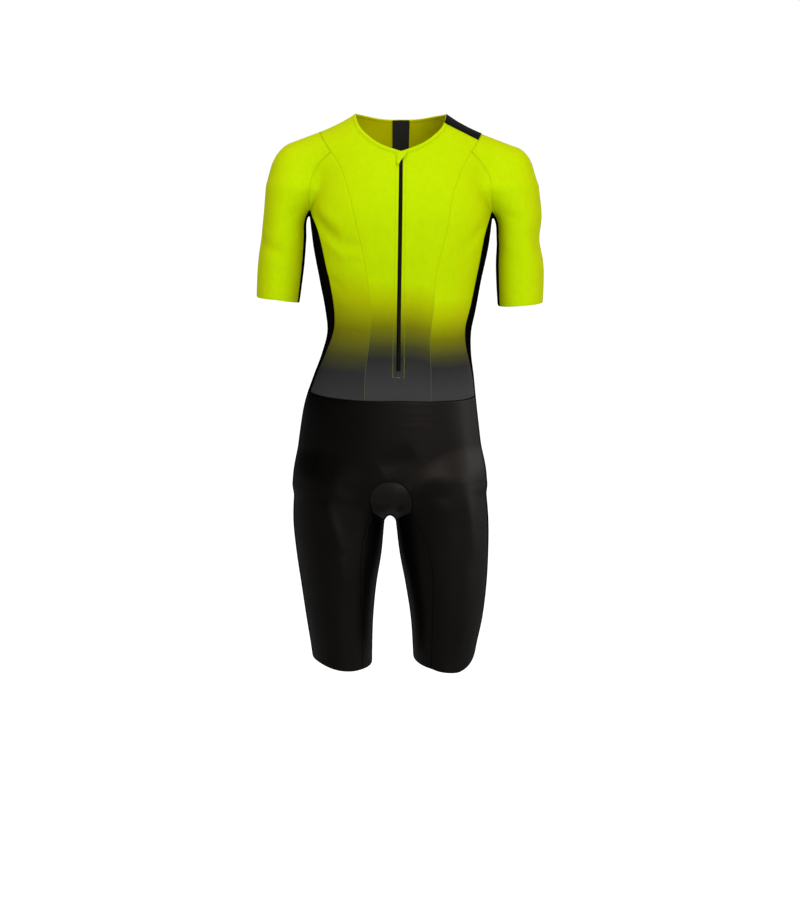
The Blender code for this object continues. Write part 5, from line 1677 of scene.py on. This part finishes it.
# Gloss shows it darker, as a floor that lies beyond the soft boxes.
dimmed = add(tree, "Mix", {
    "Factor": seen.outputs["Is Glossy Ray"], 6: tone.outputs[0], 7: linear("#B8B8B8"),
}, data_type="RGBA")
shader = add(tree, "BsdfPrincipled", {
    "Base Color": dimmed.outputs[2], "Roughness": 0.9, "Specular IOR Level": 0.1,
    "Emission Color": linear("#FFFFFF"), "Emission Strength": lit_to_white.outputs[0],
})
tree.links.new(shader.outputs[0], output.inputs[0])

around = np.arange(FLOOR_CORNERS) * 2 * np.pi / FLOOR_CORNERS
floor_mesh = bpy.data.meshes.new("floor")
floor_mesh.from_pydata(
    [(FLOOR_RADIUS * np.cos(turn), FLOOR_RADIUS * np.sin(turn), FLOOR_Z) for turn in around], [],
    [list(range(FLOOR_CORNERS))])
floor_mesh.materials.append(white_paint)
floor = bpy.data.objects.new("floor", floor_mesh)
bpy.context.scene.collection.objects.link(floor)

# Gloss shows a second sky, as a wide soft box to the wearer's left would give.
SKY, SKY_RISES_TOWARDS = 0.47, (-0.17, 0.0, 0.10)
GLOSS_SKY, GLOSS_RISES_TOWARDS = 0.70, (2.0, 0.0, -1.2)
world = bpy.data.worlds.new("studio")
bpy.context.scene.world = world
world.use_nodes = True
tree = world.node_tree
tree.nodes.clear()
output = add(tree, "OutputWorld")
direction = add(tree, "TexCoord")
slope = add(tree, "VectorMath", {0: direction.outputs["Generated"], 1: SKY_RISES_TOWARDS},
            operation="DOT_PRODUCT")
glow = add(tree, "Math", {0: slope.outputs["Value"], 1: SKY}, operation="ADD")
gloss_slope = add(tree, "VectorMath", {0: direction.outputs["Generated"], 1: GLOSS_RISES_TOWARDS},
                  operation="DOT_PRODUCT")
gloss_glow = add(tree, "Math", {0: gloss_slope.outputs["Value"], 1: GLOSS_SKY}, operation="ADD")
gloss_glow_lit = add(tree, "Math", {0: gloss_glow.outputs[0], 1: 0.0}, operation="MAXIMUM")
seen = add(tree, "LightPath")
lit = add(tree, "MapRange", {
    0: seen.outputs["Is Glossy Ray"], 3: glow.outputs[0], 4: gloss_glow_lit.outputs[0],
})
strength = add(tree, "MapRange", {0: seen.outputs["Is Camera Ray"], 3: lit.outputs[0], 4: 1.0})
sky = add(tree, "Background", {"Color": (1, 1, 1, 1), "Strength": strength.outputs[0]})
tree.links.new(sky.outputs[0], output.inputs[0])

Lamp = namedtuple("Lamp", "name x y z aim_z width height watts")
LAMPS = (
    Lamp("side", 3.0, 0.1, -0.2, -0.5, 1.2, 1.8, 13),
    Lamp("front", 0.9, -3.0, 0.4, -0.5, 1.6, 2.0, 36),
    Lamp("top", -0.3, -0.7, 2.1, -0.4, 1.6, 1.2, 18),
)
for lamp in LAMPS:
    data = bpy.data.lights.new(lamp.name, "AREA")
    data.shape = "RECTANGLE"
    data.size, data.size_y, data.energy = lamp.width, lamp.height, lamp.watts
    light = bpy.data.objects.new(lamp.name, data)
    light.location = (lamp.x, lamp.y, lamp.z)
    towards = light.location - Vector((0, 0, lamp.aim_z))
    light.rotation_euler = towards.to_track_quat("Z", "Y").to_euler()
    bpy.context.scene.collection.objects.link(light)

CAMERA_PLACE, CAMERA_AIM_Z, CAMERA_LENS = (-0.0018, -3.4, -0.0513), -0.589, 77.4
camera_data = bpy.data.cameras.new("camera")
camera_data.lens, camera_data.sensor_width, camera_data.sensor_fit = CAMERA_LENS, 36, "AUTO"
camera_data.clip_end = 200
camera = bpy.data.objects.new("camera", camera_data)
camera.location = CAMERA_PLACE
drop = np.arctan2(CAMERA_PLACE[2] - CAMERA_AIM_Z, -CAMERA_PLACE[1])
camera.rotation_euler = (np.pi / 2 - drop, 0, 0)
bpy.context.scene.collection.objects.link(camera)
bpy.context.scene.camera = camera
bpy.context.scene.view_settings.view_transform = "Standard"
